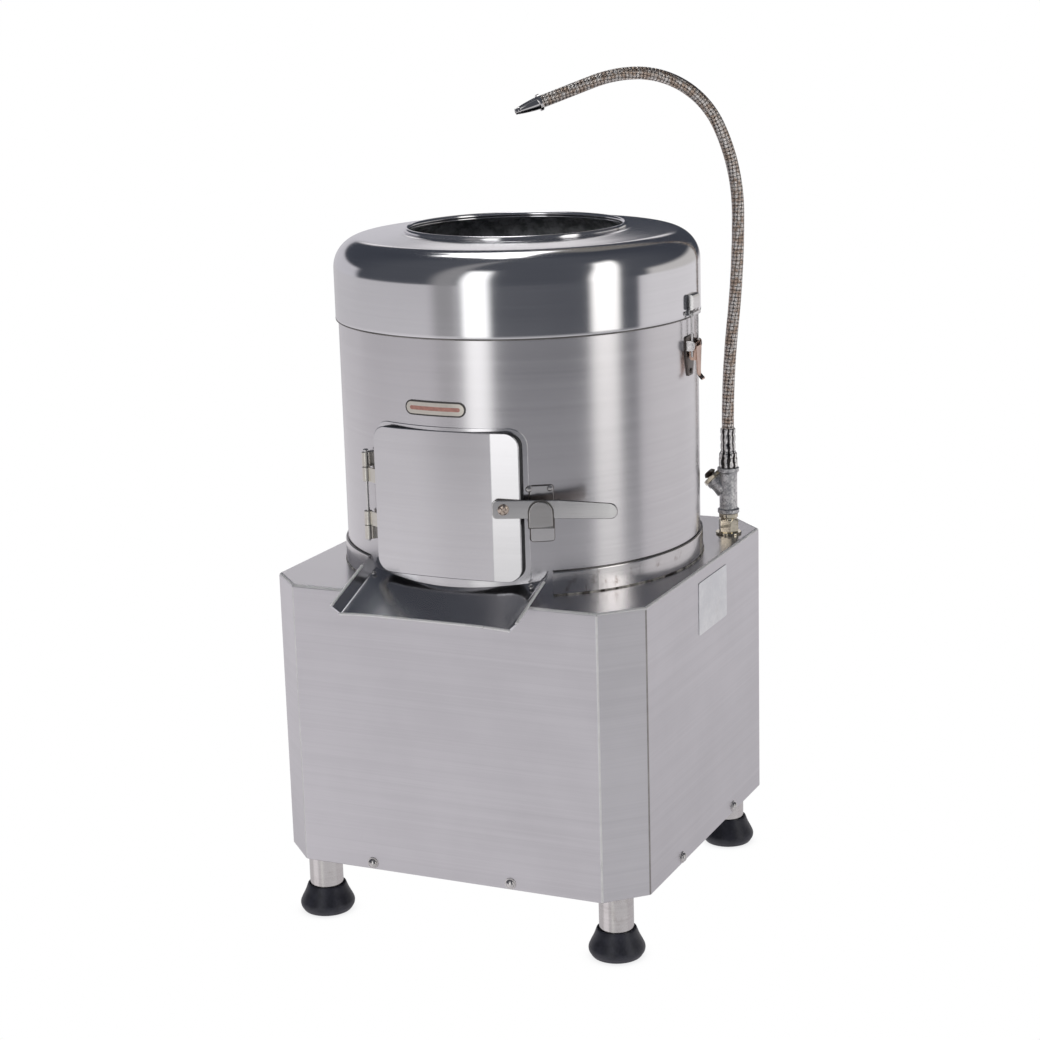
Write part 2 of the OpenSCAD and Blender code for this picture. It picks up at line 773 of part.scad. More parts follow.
module peeling_disc() {
    paddle_from = bearing_bolt_r + 20;
    paddle_gap = 2.5;
    color([0.6, 0.6, 0.6]) difference() {
        union() {
            translate([0, 0, disc_z]) cylinder(r = disc_r, h = disc_t);
            translate([0, 0, hub_z]) cylinder(r = hub_r, h = disc_z - hub_z);
            for (a = [0, 180]) rotate([0, 0, a]) translate([paddle_from, -2, floor_top + paddle_gap])
                cube([disc_r - 4 - paddle_from, 4, disc_z - floor_top - paddle_gap + eps]);
        }
        translate([0, 0, hub_z - 1]) cylinder(r = shaft_r + run_gap, h = disc_z - hub_z + 1);
        translate([0, 0, disc_z - 1]) cylinder(r = thread_r + run_gap, h = disc_t + 2);
    }
}

// Grit layer with two rounded waves across it
module abrasive_layer() {
    wave_r = 60;
    wave_sink = wave_r - wave_h;
    color([0.34, 0.33, 0.34]) difference() {
        intersection() {
            translate([0, 0, disc_top]) cylinder(r = disc_r, h = 60);
            union() {
                translate([0, 0, disc_top]) cylinder(r = disc_r, h = grit_t);
                for (a = [30, 210]) rotate([0, 0, a]) translate([0, 0, grit_top - wave_sink])
                    rotate([0, 90, 0]) cylinder(r = wave_r, h = disc_r + 10);
            }
        }
        translate([0, 0, disc_top - 1]) cylinder(r = hub_r + 4, h = 60);
    }
}

module disc_nut() {
    color(STEEL) translate([0, 0, disc_top]) difference() {
        union() {
            cylinder(r = hub_r + 2, h = 3);
            cylinder(r = 17, h = nut_top - disc_top - 6, $fn = 6);
            translate([0, 0, nut_top - disc_top - 6]) cylinder(r1 = 14, r2 = 9, h = 6);
        }
        translate([0, 0, -1]) cylinder(r = thread_r + run_gap, h = nut_top - disc_top - nut_cap + 1.5);
    }
}

// ---- Door ----

module door_frame() {
    w = door_w + 2 * frame_margin;
    h = door_h + frame_margin + sill_drop;
    z = door_z + (frame_margin - sill_drop) / 2;
    color(STEEL) difference() {
        intersection() {
            translate([0, 0, deck_z]) ring(frame_r, drum_r, drum_h);
            door_block(w, h, door_corner + frame_margin, z);
        }
        door_block(window_w, window_h, door_corner);
    }
}

module at_hinge(z) {
    rotate([0, 0, hinge_turn]) translate([hinge_r, 0, door_z + z]) children();
}

module door_panel() {
    strap_in = door_out - door_t;
    color(STEEL) difference() {
        union() {
            difference() {
                intersection() {
                    ring(door_out, door_in, drum_top);
                    door_block(door_w, door_h, door_corner);
                }
                intersection() {
                    cylinder(r = strap_in, h = drum_top);
                    door_block(door_w - 2 * door_t, door_h - 2 * door_t, door_corner - door_t);
                }
            }
            for (z = [hinge_up - knuckle_h, hinge_down]) {
                at_hinge(z) cylinder(r = knuckle_r, h = knuckle_h - 0.5);
                translate([0, 0, door_z + z]) rotate([0, 0, hinge_turn])
                    rotate_extrude(angle = (hinge_side + 5.5) / hinge_r * 180 / PI)
                        translate([strap_in, 0]) square([door_t, knuckle_h - 0.5]);
            }
        }
        at_hinge(-door_h / 2) cylinder(r = hinge_pin_r + run_gap, h = door_h);
        facing(latch_turn, latch_z) cylinder(r = latch_screw_r + run_gap, h = drum_r + 20);
    }
}

module door_seal() {
    color(RUBBER) intersection() {
        ring(door_out - door_t, frame_r + move_gap, drum_top);
        difference() {
            door_block(door_w - 2 * door_t - 1, door_h - 2 * door_t - 1, door_corner - door_t);
            door_block(window_w + 4, window_h + 2, door_corner);
        }
    }
}

module hinge_knuckles() {
    color(STEEL) difference() {
        for (z = [hinge_up + 0.5, hinge_down - knuckle_h]) {
            at_hinge(z) cylinder(r = knuckle_r, h = knuckle_h - 0.5);
            translate([0, 0, door_z + z]) rotate([0, 0, hinge_turn - 1.1]) rotate_extrude(angle = 2.2)
                translate([drum_r, 0]) square([hinge_r - drum_r - hinge_pin_r, knuckle_h - 0.5]);
        }
        at_hinge(-door_h / 2) cylinder(r = hinge_pin_r, h = door_h);
    }
}

module hinge_pin() {
    pin_l = hinge_up - hinge_down + 2 * knuckle_h + 4;
    color(STEEL) at_hinge(hinge_down - knuckle_h - 2) union() {
        cylinder(r = hinge_pin_r - 0.02, h = pin_l);
        translate([0, 0, pin_l]) cylinder(r1 = hinge_pin_r + 1, r2 = hinge_pin_r, h = 1.5);
    }
}

// The bar's upper edge slopes down towards its free end
module latch_bar() {
    tip = 5;
    taper = 3.5;
    color(STEEL) facing(latch_turn, latch_z) translate([0, 0, bar_n]) difference() {
        linear_extrude(bar_t) hull() {
            for (y = [-1, 1]) translate([-bar_tail + tip, y * (bar_h / 2 - tip)]) circle(tip, $fn = 32);
            for (y = [-bar_h / 2 + tip, bar_h / 2 - taper - tip])
                translate([bar_reach - tip, y]) circle(tip, $fn = 32);
            translate([bar_reach / 2, bar_h / 2 - tip]) circle(tip, $fn = 32);
        }
        translate([0, 0, -1]) cylinder(r = latch_screw_r + run_gap, h = bar_t + 2);
    }
}

module latch_screw() {
    inner = door_out - door_t - 2;
    head_n = bar_n + bar_t + move_gap;
    color(STEEL) facing(latch_turn, latch_z) difference() {
        union() {
            translate([0, 0, inner]) cylinder(r = latch_screw_r, h = head_n - inner + eps);
            translate([0, 0, head_n]) pan_head(12, 3.5);
            translate([0, 0, door_out + 0.1])
                ring(6, latch_screw_r - 0.1, bar_n - door_out - 0.1 - move_gap);
            translate([0, 0, inner]) cylinder(r = 5, h = 1.5);
        }
        translate([0, 0, head_n + 2]) for (a = [45, 135]) rotate([0, 0, a])
            translate([-3.2, -0.6, 0]) cube([6.4, 1.2, 3]);
    }
}

module latch_keeper() {
    tongue_n = bar_n + bar_t + 1;
    low = keeper_floor - keeper_t;
    tip_y = keeper_tip - keeper_w / 2;
    color(STEEL) difference() {
        union() {
            intersection() {
                ring(drum_r + keeper_t, drum_r, drum_top);
                facing(latch_turn, latch_z) translate([keeper_s, -38, 0]) cube([keeper_w, 60, drum_r + 20]);
            }
            facing(latch_turn, latch_z) translate([keeper_s, 0, 0]) {
                translate([0, low, drum_r - 12])
                    cube([keeper_w, keeper_t, tongue_n + keeper_t - drum_r + 12]);
                translate([0, 0, tongue_n]) linear_extrude(keeper_t) {
                    translate([0, low]) square([keeper_w, tip_y - low]);
                    translate([keeper_w / 2, tip_y]) circle(keeper_w / 2);
                }
            }
        }
        cylinder(r = drum_r, h = drum_top);
    }
}

module chute() {
    half = chute_w / 2;
    top = half + chute_flare;
    hem_r = chute_t / 2 + 0.4;
    inside = chute_wall_h + 0.6;
    color(STEEL) difference() {
        translate([0, lip_y, lip_z]) rotate([chute_slope, 0, 0]) union() {
            rotate([90, 0, 180]) linear_extrude(chute_l)
                polygon([[-top, chute_wall_h], [-half - 1, -chute_t], [half + 1, -chute_t],
                    [top, chute_wall_h], [top - chute_t, inside], [half, 0], [-half, 0],
                    [-top + chute_t, inside]]);
            translate([-half - 1, 0, -hem_r]) rotate([0, 90, 0]) cylinder(r = hem_r, h = chute_w + 2);
        }
        translate([0, 0, deck_z - 30]) cylinder(r = drum_r + 0.05, h = drum_h);
        intersection() {
            translate([0, 0, deck_z - 30]) cylinder(r = frame_r + 0.05, h = drum_h);
            translate([-door_w / 2 - frame_margin - 0.2, -drum_r - 20, deck_z - 30])
                cube([door_w + 2 * frame_margin + 0.4, drum_r, drum_h]);
        }
    }
}

module name_badge() {
    badge_w = 72;
    badge_h = 16;
    color([0.8, 0.78, 0.72]) intersection() {
        translate([0, 0, deck_z]) ring(drum_r + 1.2, drum_r, drum_h);
        facing(badge_turn, badge_z) linear_extrude(drum_r + 10)
            rounded_rect(badge_w, badge_h, badge_h / 2 - 0.1);
    }
}

// ---- Lid ----

// Outline of the closed lid from its axis out, inset by a wall
module lid_outline(inset) {
    flat_r = lid_r - shoulder_r;
    flat_z = crown_z - shoulder_r;
    translate([0, lid_z - 1]) square([flat_r, crown_z - inset - lid_z + 1]);
    translate([0, lid_z - 1]) square([lid_r - inset, flat_z - lid_z + 1]);
    translate([flat_r, flat_z]) circle(shoulder_r - inset);
    polygon([[0, crown_z - inset - 1], [flat_r, crown_z - inset - 1], [flat_r, crown_z - inset],
        [neck_r, crown_z + crown_rise - inset], [0, crown_z + crown_rise - inset]]);
}

module lid_shell() {
    color([0.75, 0.75, 0.77]) union() {
        rotate_extrude() difference() {
            union() {
                difference() {
                    lid_outline(0);
                    lid_outline(lid_wall);
                }
                polygon([[feed_r, crown_z], [neck_r, crown_z + crown_rise - lid_wall],
                    [neck_r, crown_z + crown_rise], [feed_r + 2 * bead_r, rim_z - bead_r],
                    [feed_r, rim_z - bead_r]]);
            }
            translate([0, lid_z - 2]) square([feed_r, lid_h + 20]);
            translate([0, lid_z - 2]) square([lid_r + 1, 2]);
        }
        rotate_extrude() translate([feed_r + bead_r, rim_z - bead_r]) circle(bead_r);
        translate([0, 0, ledge_z]) ring(lid_r - lid_wall + eps, drum_in - 2, 2);
    }
}

module lid_seal() {
    color(RUBBER) translate([0, 0, drum_top + move_gap])
        ring(drum_r + 0.8, drum_in - 1, ledge_z - drum_top - move_gap);
}

// ---- Toggle clamps ----

module toggle_catch(turn) {
    facing(turn, 0) translate([-catch_w / 2, lid_z + 1.2, 0]) {
        translate([0, 0, lid_r - 2]) cube([catch_w, 2, 13.5]);
        translate([0, 0, lid_r + 10]) cube([catch_w, 3, 1.5]);
    }
    intersection() {
        translate([0, 0, lid_z + 1.2]) ring(lid_r + 1.5, lid_r, 20);
        facing(turn, 0) translate([-catch_w / 2, lid_z, 0]) cube([catch_w, 30, lid_r + 10]);
    }
}

module toggle_catches() {
    color(STEEL) difference() {
        for (turn = [toggle_turn, toggle_turn + 180]) toggle_catch(turn);
        translate([0, 0, lid_z - 5]) cylinder(r = lid_r, h = 60);
    }
}

module toggle_base(turn) {
    intersection() {
        translate([0, 0, toggle_z - 40]) ring(drum_r + 1.8, drum_r, 60);
        facing(turn, toggle_z) translate([-toggle_w / 2, -34, 0]) cube([toggle_w, 44, drum_r + 20]);
    }
    facing(turn, toggle_z) {
        for (x = [-ear_x - ear_t, ear_x]) translate([x, -5.5, drum_r - 4])
            cube([ear_t, 11, toggle_n + 4 - drum_r + 4]);
        translate([-ear_x - ear_t, 0, toggle_n]) rotate([0, 90, 0])
            cylinder(r = toggle_pin_r, h = 2 * (ear_x + ear_t));
    }
}

module toggle_bases() {
    color(STEEL) difference() {
        for (turn = [toggle_turn, toggle_turn + 180]) toggle_base(turn);
        cylinder(r = drum_r, h = drum_top);
    }
}

module toggle_lever(turn) {
    face_n = toggle_n + 4.5;
    color(STEEL) facing(turn, toggle_z) difference() {
        union() {
            translate([-cheek_x - ear_t, -toggle_lever_l + 8, face_n])
                cube([2 * (cheek_x + ear_t), toggle_lever_l - 9, ear_t]);
            translate([-cheek_x + 2, -toggle_lever_l, face_n]) {
                cube([2 * cheek_x - 4, 9, ear_t]);
                cube([2 * cheek_x - 4, ear_t, 6]);
            }
            for (x = [-cheek_x - ear_t, cheek_x]) {
                translate([x, -toggle_throw - 4, toggle_n - 3.5])
                    cube([ear_t, toggle_throw + 4, face_n - toggle_n + 4]);
                translate([x, 0, toggle_n]) rotate([0, 90, 0]) cylinder(r = 4, h = ear_t);
            }
        }
        for (y = [0, -toggle_throw]) translate([-toggle_w, y, toggle_n]) rotate([0, 90, 0])
            cylinder(r = toggle_pin_r + run_gap, h = 2 * toggle_w);
    }
}

module right_toggle_lever() {
    toggle_lever(toggle_turn);
}

module left_toggle_lever() {
    toggle_lever(toggle_turn + 180);
}

// Wire loop: two arms, a crossbar and two pivot ends that point inwards
module toggle_loop(turn) {
    r = toggle_wire_d / 2;
    low = toggle_z - toggle_throw;
    color(STEEL) facing(turn, 0) translate([0, 0, toggle_n]) {
        for (x = [-1, 1]) {
            translate([x * loop_x, low, 0]) rotate([-90, 0, 0]) cylinder(r = r, h = bar_rise - low);
            translate([x > 0 ? cheek_x - 1 : -loop_x, low, 0]) rotate([0, 90, 0])
                cylinder(r = r, h = loop_x - cheek_x + 1);
            for (z = [low, bar_rise]) translate([x * loop_x, z, 0]) sphere(r = r);
        }
        translate([-loop_x, bar_rise, 0]) rotate([0, 90, 0]) cylinder(r = r, h = 2 * loop_x);
    }
}

module right_toggle_loop() {
    toggle_loop(toggle_turn);
}

module left_toggle_loop() {
    toggle_loop(toggle_turn + 180);
}

// ---- Water spray ----

module at_spray(z) {
    translate([spray_x, spray_y, z]) children();
}

module water_nipple() {
    color(BRASS) difference() {
        union() {
            at_spray(nipple_end) cylinder(r = nipple_r, h = nipple_top - nipple_end);
            at_spray(deck_z) cylinder(r = 15, h = 2.5);
            at_spray(deck_z + 2.5) cylinder(d = nipple_hex, h = nipple_top - deck_z - 10, $fn = 6);
            at_spray(nipple_top - 5) cylinder(r = 11, h = 5);
            at_spray(under_deck - 8) cylinder(d = nipple_hex, h = 8, $fn = 6);
        }
        at_spray(nipple_end - 1) cylinder(r = nipple_bore, h = nipple_top - nipple_end + 2);
    }
}

module at_branch() {
    at_spray(branch_z) rotate([0, -45, 0]) children();
}

module valve_body() {
    color(STEEL) union() {
        at_spray(nipple_top) cylinder(r = valve_r, h = valve_top - nipple_top);
        for (z = [nipple_top, valve_top - 5]) at_spray(z) cylinder(r = valve_r + 2.2, h = 5);
        at_branch() cylinder(r = branch_r, h = branch_l);
    }
}

module valve_gland() {
    color(BRASS) at_branch() translate([0, 0, branch_l]) difference() {
        cylinder(r = branch_r + 1, h = 4, $fn = 6);
        translate([0, 0, -1]) cylinder(r = 2 + run_gap, h = 6);
    }
}

module valve_knob() {
    color(RUBBER) at_branch() translate([0, 0, branch_l]) union() {
        translate([0, 0, 0.3]) cylinder(r = 2, h = 5);
        translate([0, 0, 4.3]) cylinder(r1 = 5.5, r2 = 7.5, h = 3);
        translate([0, 0, 7.3]) cylinder(r1 = 7.5, r2 = 5, h = 4);
    }
}

module hose_ferrule() {
    nut_h = 11;
    color(STEEL) at_spray(valve_top + move_gap) union() {
        cylinder(r = valve_r + 1.2, h = nut_h, $fn = 6);
        cylinder(r = valve_r, h = nut_h + 6);
        translate([0, 0, nut_h + 6]) cylinder(r1 = valve_r, r2 = hose_r + 2, h = 4);
        cylinder(r = hose_r + 1.6, h = hose_z - valve_top - move_gap);
    }
}

// Moves to the far end of the hose
module at_hose_end() {
    at_spray(hose_z) rotate([0, 0, spray_turn]) translate([hose_end[0], 0, hose_end[1]])
        rotate([0, hose_end[2], 0]) children();
}

module spray_hose() {
    sides = 12;
    rings = concat(hose_rings, [hose_end]);
    last = len(rings) - 1;
    points = [for (p = rings, a = [0:360 / sides:359])
        [p[0] + hose_r * cos(a) * cos(p[2]), hose_r * sin(a), p[1] - hose_r * cos(a) * sin(p[2])]];
    walls = [for (i = [0:last - 1], j = [0:sides - 1]) let (k = (j + 1) % sides)
        [i * sides + j, (i + 1) * sides + j, (i + 1) * sides + k, i * sides + k]];
    ends = [[for (j = [0:sides - 1]) j], [for (j = [sides - 1:-1:0]) last * sides + j]];
    color([0.66, 0.62, 0.58]) at_spray(hose_z) rotate([0, 0, spray_turn])
        polyhedron(points, concat(walls, ends));
}

module spray_nozzle() {
    color(STEEL) at_hose_end() difference() {
        union() {
            cylinder(r = hose_r + 2.4, h = 4);
            translate([0, 0, 4]) cylinder(r1 = hose_r, r2 = 3.4, h = nozzle_l);
        }
        translate([0, 0, 6]) cylinder(r = 1.8, h = nozzle_l);
    }
}

base_housing();
back_panel();
deck_plate();
base_frame();
leg_tubes();
rubber_feet();
edge_bolts();
access_panel();
access_screws();
rating_plate();
motor_tray();
motor_body();
terminal_box();
motor_shaft();
motor_pulley();
drive_belt();
disc_pulley();
main_shaft();
bearing_housing();
shaft_bearings();
shaft_seal();
drive_bolts();
run_capacitor();
cable_gland();
drain_pipe();
switch_box();
start_button();
stop_button();
drum_shell();
drum_band();
drum_floor();
abrasive_liner();
peeling_disc();
abrasive_layer();
disc_nut();
door_frame();
door_panel();
door_seal();
hinge_knuckles();
hinge_pin();
latch_bar();
latch_screw();
latch_keeper();
chute();
name_badge();
lid_shell();
lid_seal();
toggle_catches();
toggle_bases();
right_toggle_lever();
right_toggle_loop();
left_toggle_lever();
left_toggle_loop();
water_nipple();
valve_body();
valve_gland();
valve_knob();
hose_ferrule();
spray_hose();
spray_nozzle();
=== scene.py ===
from math import asin, atan2, ceil, cos, degrees, pi, radians, sin, sqrt, tan

import bmesh
import bpy
from mathutils import Matrix, Vector


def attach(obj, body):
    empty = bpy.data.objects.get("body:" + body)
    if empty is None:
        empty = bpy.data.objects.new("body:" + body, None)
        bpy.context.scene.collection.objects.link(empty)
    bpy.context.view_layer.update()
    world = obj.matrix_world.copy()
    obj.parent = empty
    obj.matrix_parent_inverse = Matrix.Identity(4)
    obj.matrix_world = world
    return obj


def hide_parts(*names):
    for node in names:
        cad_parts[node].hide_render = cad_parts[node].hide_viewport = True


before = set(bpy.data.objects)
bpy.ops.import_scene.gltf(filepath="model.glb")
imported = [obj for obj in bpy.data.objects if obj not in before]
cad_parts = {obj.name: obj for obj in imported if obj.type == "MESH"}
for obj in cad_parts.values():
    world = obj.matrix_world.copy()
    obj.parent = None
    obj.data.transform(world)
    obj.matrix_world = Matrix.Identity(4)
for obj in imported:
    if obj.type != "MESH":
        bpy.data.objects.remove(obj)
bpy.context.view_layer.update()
MM = 0.001

# ---- Sizes, in millimetres, as in the solid model ----
HALF_W, CUT, BASE_Z, DECK_Z, SHEET = 220, 40, 75, 395, 2
LEG, BOLT_X, BOLT_Z = 179, 84, 82
PANEL_Z, PLATE_Y, PLATE_Z = 190, 20, 350
SWITCH_Y, SWITCH_Z, START_Z, STOP_Z, CAP_R = -75, 325, 345, 305, 10.9
DRUM_R, DRUM_IN, DRUM_TOP = 200.5, 198.5, 688
BAND_H, BAND_T = 26, 3
DOOR_W, DOOR_H, DOOR_Z, CORNER = 171, 160, 493, 15
WINDOW, WINDOW_R = 148, 15
FRAME_R = DRUM_R + 1.0
DOOR_OUT, DOOR_FACE, DOOR_SHEET = DRUM_R + 6.7, 202.9, 0.9
BEVEL, SEAL_R = 56, FRAME_R + 0.1
SEAL_OUT, SEAL_IN = 0.7, 7.5
HINGE_R, HINGE_TURN, KNUCKLE, LEAF_H = 207, -120, 4.5, 15.5
BAR_N = DOOR_OUT + 1.8
LATCH_TURN = -90 + degrees(asin((DOOR_W / 2 - 17) / (BAR_N + 1.5)))
KEEPER_X, KEEPER_N = 39.5, BAR_N + 5.2
BADGE_TURN, BADGE_Z = -92.2, DECK_Z + 201
LID_R, LID_Z, CROWN_Z, LID_TOP = 203.5, 671, 760, 768
SHOULDER, LID_SHEET, FEED_R, BEAD = 34, 1.5, 118, 3.2
TOGGLE_Z, TOGGLE_N = 640, 207
SPRAY_X, SPRAY_Y = 195, 145
BRANCH_Z, VALVE_TOP, HOSE_Z, HOSE_R = 442, 474, 520, 7.0
CAM_AZ, CAM_EL, CAM_ROLL = 24.91, 13.65, -1.67


# ---- Mesh tools ----
def facing(turn, z):
    """Local X runs to the right, Y up and Z outwards from the drum's axis."""
    return (Matrix.Rotation(radians(turn + 90), 4, "Z") @ Matrix.Translation((0, 0, z))
            @ Matrix.Rotation(radians(90), 4, "X"))


def move(x=0, y=0, z=0):
    return Matrix.Translation((x, y, z))


def turned(angle, axis="Z"):
    return Matrix.Rotation(radians(angle), 4, axis)


class Shape:
    """Vertices in millimetres, faces, and a UV pair for each face corner."""

    def __init__(self):
        self.v, self.f, self.uv = [], [], {}

    def loft(self, rings, caps=(True, True), m=None, loop=True, grid=None):
        base, n = len(self.v), len(rings[0])
        for ring in rings:
            self.v += [(m @ Vector(p)) if m else Vector(p) for p in ring]
        for i in range(len(rings) - 1):
            for j in range(n if loop else n - 1):
                q = (j + 1) % n
                if grid:
                    self.uv[len(self.f)] = [(j / n, grid[i]), ((j + 1) / n, grid[i]),
                                            ((j + 1) / n, grid[i + 1]), (j / n, grid[i + 1])]
                self.f.append((base + i * n + j, base + i * n + q,
                               base + (i + 1) * n + q, base + (i + 1) * n + j))
        top = base + (len(rings) - 1) * n
        if caps[0]:
            self.f.append(tuple(base + j for j in reversed(range(n))))
        if caps[1]:
            self.f.append(tuple(top + j for j in range(n)))
        return self

    def lathe(self, profile, n=64, m=None):
        closed = profile[0] == profile[-1]
        rings = [[(r * cos(2 * pi * j / n), r * sin(2 * pi * j / n), z) for j in range(n)]
                 for r, z in profile]
        caps = (not closed and profile[0][0] > 0, not closed and profile[-1][0] > 0)
        return self.loft(rings, caps, m)

    def stack(self, outline, levels, m=None, caps=(True, True)):
        return self.loft([[(x, y, z) for x, y in outline(inset)] for inset, z in levels], caps, m)

    def pipe(self, path, radius, n=24, m=None):
        path = [Vector(p) for p in path]
        ahead = [(path[min(i + 1, len(path) - 1)] - path[max(i - 1, 0)]).normalized()
                 for i in range(len(path))]
        side = ahead[0].orthogonal().normalized()
        rings, grid, run = [], [], 0
        for i, p in enumerate(path):
            side = (side - ahead[i] * side.dot(ahead[i])).normalized()
            up = ahead[i].cross(side)
            rings.append([p + (side * cos(2 * pi * j / n) + up * sin(2 * pi * j / n)) * radius
                          for j in range(n)])
            run += (p - path[i - 1]).length if i else 0
            grid.append(run)
        return self.loft(rings, m=m, grid=grid)

    def nut(self, radius, low, high, m=None, n=48, ends=(True, True)):
        """A hexagon with its corners turned off at the ends that are asked for."""
        def ring(z, limit):
            return [(r * cos(a), r * sin(a), z) for a in [2 * pi * k / n for k in range(n)]
                    for r in [min(radius * cos(pi / 6) / cos(a % (pi / 3) - pi / 6), limit)]]
        drop = radius * 0.05
        rings = []
        if ends[0]:
            rings += [ring(low, radius * 0.9), ring(low + drop, radius * 0.96)]
        rings += [ring(low + 2 * drop * ends[0], radius * 1.02),
                  ring(high - 2 * drop * ends[1], radius * 1.02)]
        if ends[1]:
            rings += [ring(high - drop, radius * 0.96), ring(high, radius * 0.9)]
        return self.loft(rings, m=m)


def arc(cx, cy, r, a0, a1, n=6):
    turns = [radians(a0 + (a1 - a0) * i / n) for i in range(n + 1)]
    return [(cx + r * cos(a), cy + r * sin(a)) for a in turns]


def rounded(w, h, r, n=8):
    """A rectangle with round corners, which get smaller as it is drawn in."""
    def outline(inset=0):
        rr = max(r - inset, 0.15)
        x, y = w / 2 - inset - rr, h / 2 - inset - rr
        return (arc(x, -y, rr, -90, 0, n) + arc(x, y, rr, 0, 90, n)
                + arc(-x, y, rr, 90, 180, n) + arc(-x, -y, rr, 180, 270, n))
    return outline


def card(w, h, r):
    """A rectangle that keeps its corner radius as it is drawn in."""
    return lambda inset: rounded(w - 2 * inset, h - 2 * inset, r, 4)(0)


def fillet(points, radii, n=5):
    """A polygon with its corners rounded."""
    out = []
    for i, p in enumerate(points):
        r = radii[i] if isinstance(radii, list) else radii
        p, a, b = Vector(p), Vector(points[i - 1]), Vector(points[(i + 1) % len(points)])
        u, v = (a - p).normalized(), (b - p).normalized()
        half = u.angle(v) / 2
        reach, c = r / tan(half), p + (u + v).normalized() * r / sin(half)
        s, e = p + u * reach - c, p + v * reach - c
        a0 = atan2(s.y, s.x)
        d = (atan2(e.y, e.x) - a0 + pi) % (2 * pi) - pi
        out += [(c.x + r * cos(a0 + d * k / n), c.y + r * sin(a0 + d * k / n))
                for k in range(n + 1)]
    return out


def slab(low, high, r=0.4, n=3, ends=(True, True)):
    """Inset and height of each ring of a plate whose edges are rounded over."""
    steps = [k * pi / 2 / n for k in range(n + 1)]
    under = [(r * (1 - sin(a)), low + r * (1 - cos(a))) for a in steps] if ends[0] else [(0, low)]
    over = [(r * (1 - cos(a)), high - r * (1 - sin(a))) for a in steps] if ends[1] else [(0, high)]
    return under + over


def add_object(name, data):
    thing = bpy.data.objects.new(name, data)
    bpy.context.scene.collection.objects.link(thing)
    return thing


def make(name, shape, material, body, nodes=(), sharp=32, cuts=None, warp=None, split=()):
    """Builds the piece, sets it on its body and lets it stand for its CAD nodes."""
    mesh = bpy.data.meshes.new(name)
    mesh.from_pydata([p * MM for p in shape.v], [], shape.f)
    if shape.uv:
        layer = mesh.uv_layers.new(name="along")
        for i, face in enumerate(mesh.polygons):
            for k, corner in enumerate(face.loop_indices):
                if i in shape.uv:
                    layer.data[corner].uv = shape.uv[i][k]
    bm = bmesh.new()
    bm.from_mesh(mesh)
    for x in split:
        bmesh.ops.bisect_plane(bm, geom=bm.verts[:] + bm.edges[:] + bm.faces[:],
                               plane_co=(x * MM, 0, 0), plane_no=(1, 0, 0))
    if warp:
        for vert in bm.verts:
            vert.co = Vector(warp(*(vert.co / MM))) * MM
    bmesh.ops.remove_doubles(bm, verts=bm.verts, dist=2e-6)
    bmesh.ops.recalc_face_normals(bm, faces=bm.faces)
    bm.to_mesh(mesh)
    bm.free()
    piece = add_object(name, mesh)
    if cuts:
        cutter = bpy.data.meshes.new("cutter")
        cutter.from_pydata([p * MM for p in cuts.v], [], cuts.f)
        tool = add_object("cutter", cutter)
        mod = piece.modifiers.new("cut", "BOOLEAN")
        mod.object, mod.operation, mod.solver = tool, "DIFFERENCE", "EXACT"
        bpy.context.view_layer.update()
        solved = piece.evaluated_get(bpy.context.evaluated_depsgraph_get())
        mesh = bpy.data.meshes.new_from_object(solved)
        piece.modifiers.clear()
        piece.data = mesh
        bpy.data.objects.remove(tool)
        mesh.name = name
    mesh.materials.clear()
    for one in material if isinstance(material, list) else [material]:
        mesh.materials.append(one)
    mesh.shade_smooth()
    mesh.set_sharp_from_angle(angle=radians(sharp))
    normals = piece.modifiers.new("normals", "WEIGHTED_NORMAL")
    normals.keep_sharp, normals.weight = True, 50
    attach(piece, body)
    if nodes:
        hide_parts(*nodes)
    return piece


def second_tone(piece, test, index=1):
    """Gives one more of the piece's materials to the faces that pass the test."""
    for face in piece.data.polygons:
        if test(face):
            face.material_index = index


def on_cylinder(x, y, n):
    """A flat front view laid on a cylinder of radius n, measured straight across."""
    return (x, -sqrt(n * n - x * x), DOOR_Z + y)


def door_front(x):
    """Depth of the door's face: almost flat, with a straight bevel down each side."""
    x = abs(x)
    return DOOR_FACE - min(x, BEVEL) ** 2 / 1200 - max(x - BEVEL, 0) * 0.21


def on_door(x, y, n):
    """n counts from the door's face."""
    return (x, -door_front(x) - n, DOOR_Z + y)


def on_gasket(x, y, n):
    """n = 0 on the frame, n = 1 on the back of the door."""
    low = sqrt(SEAL_R * SEAL_R - x * x)
    return (x, -low - max(door_front(x) - DOOR_SHEET - low, 0.1) * n, DOOR_Z + y)


def wrapped(turn, z, radius):
    """A flat plate wrapped round the drum, measured along it."""
    def place(x, y, n):
        a = radians(turn) + x / radius
        return (n * cos(a), n * sin(a), z + y)
    return place


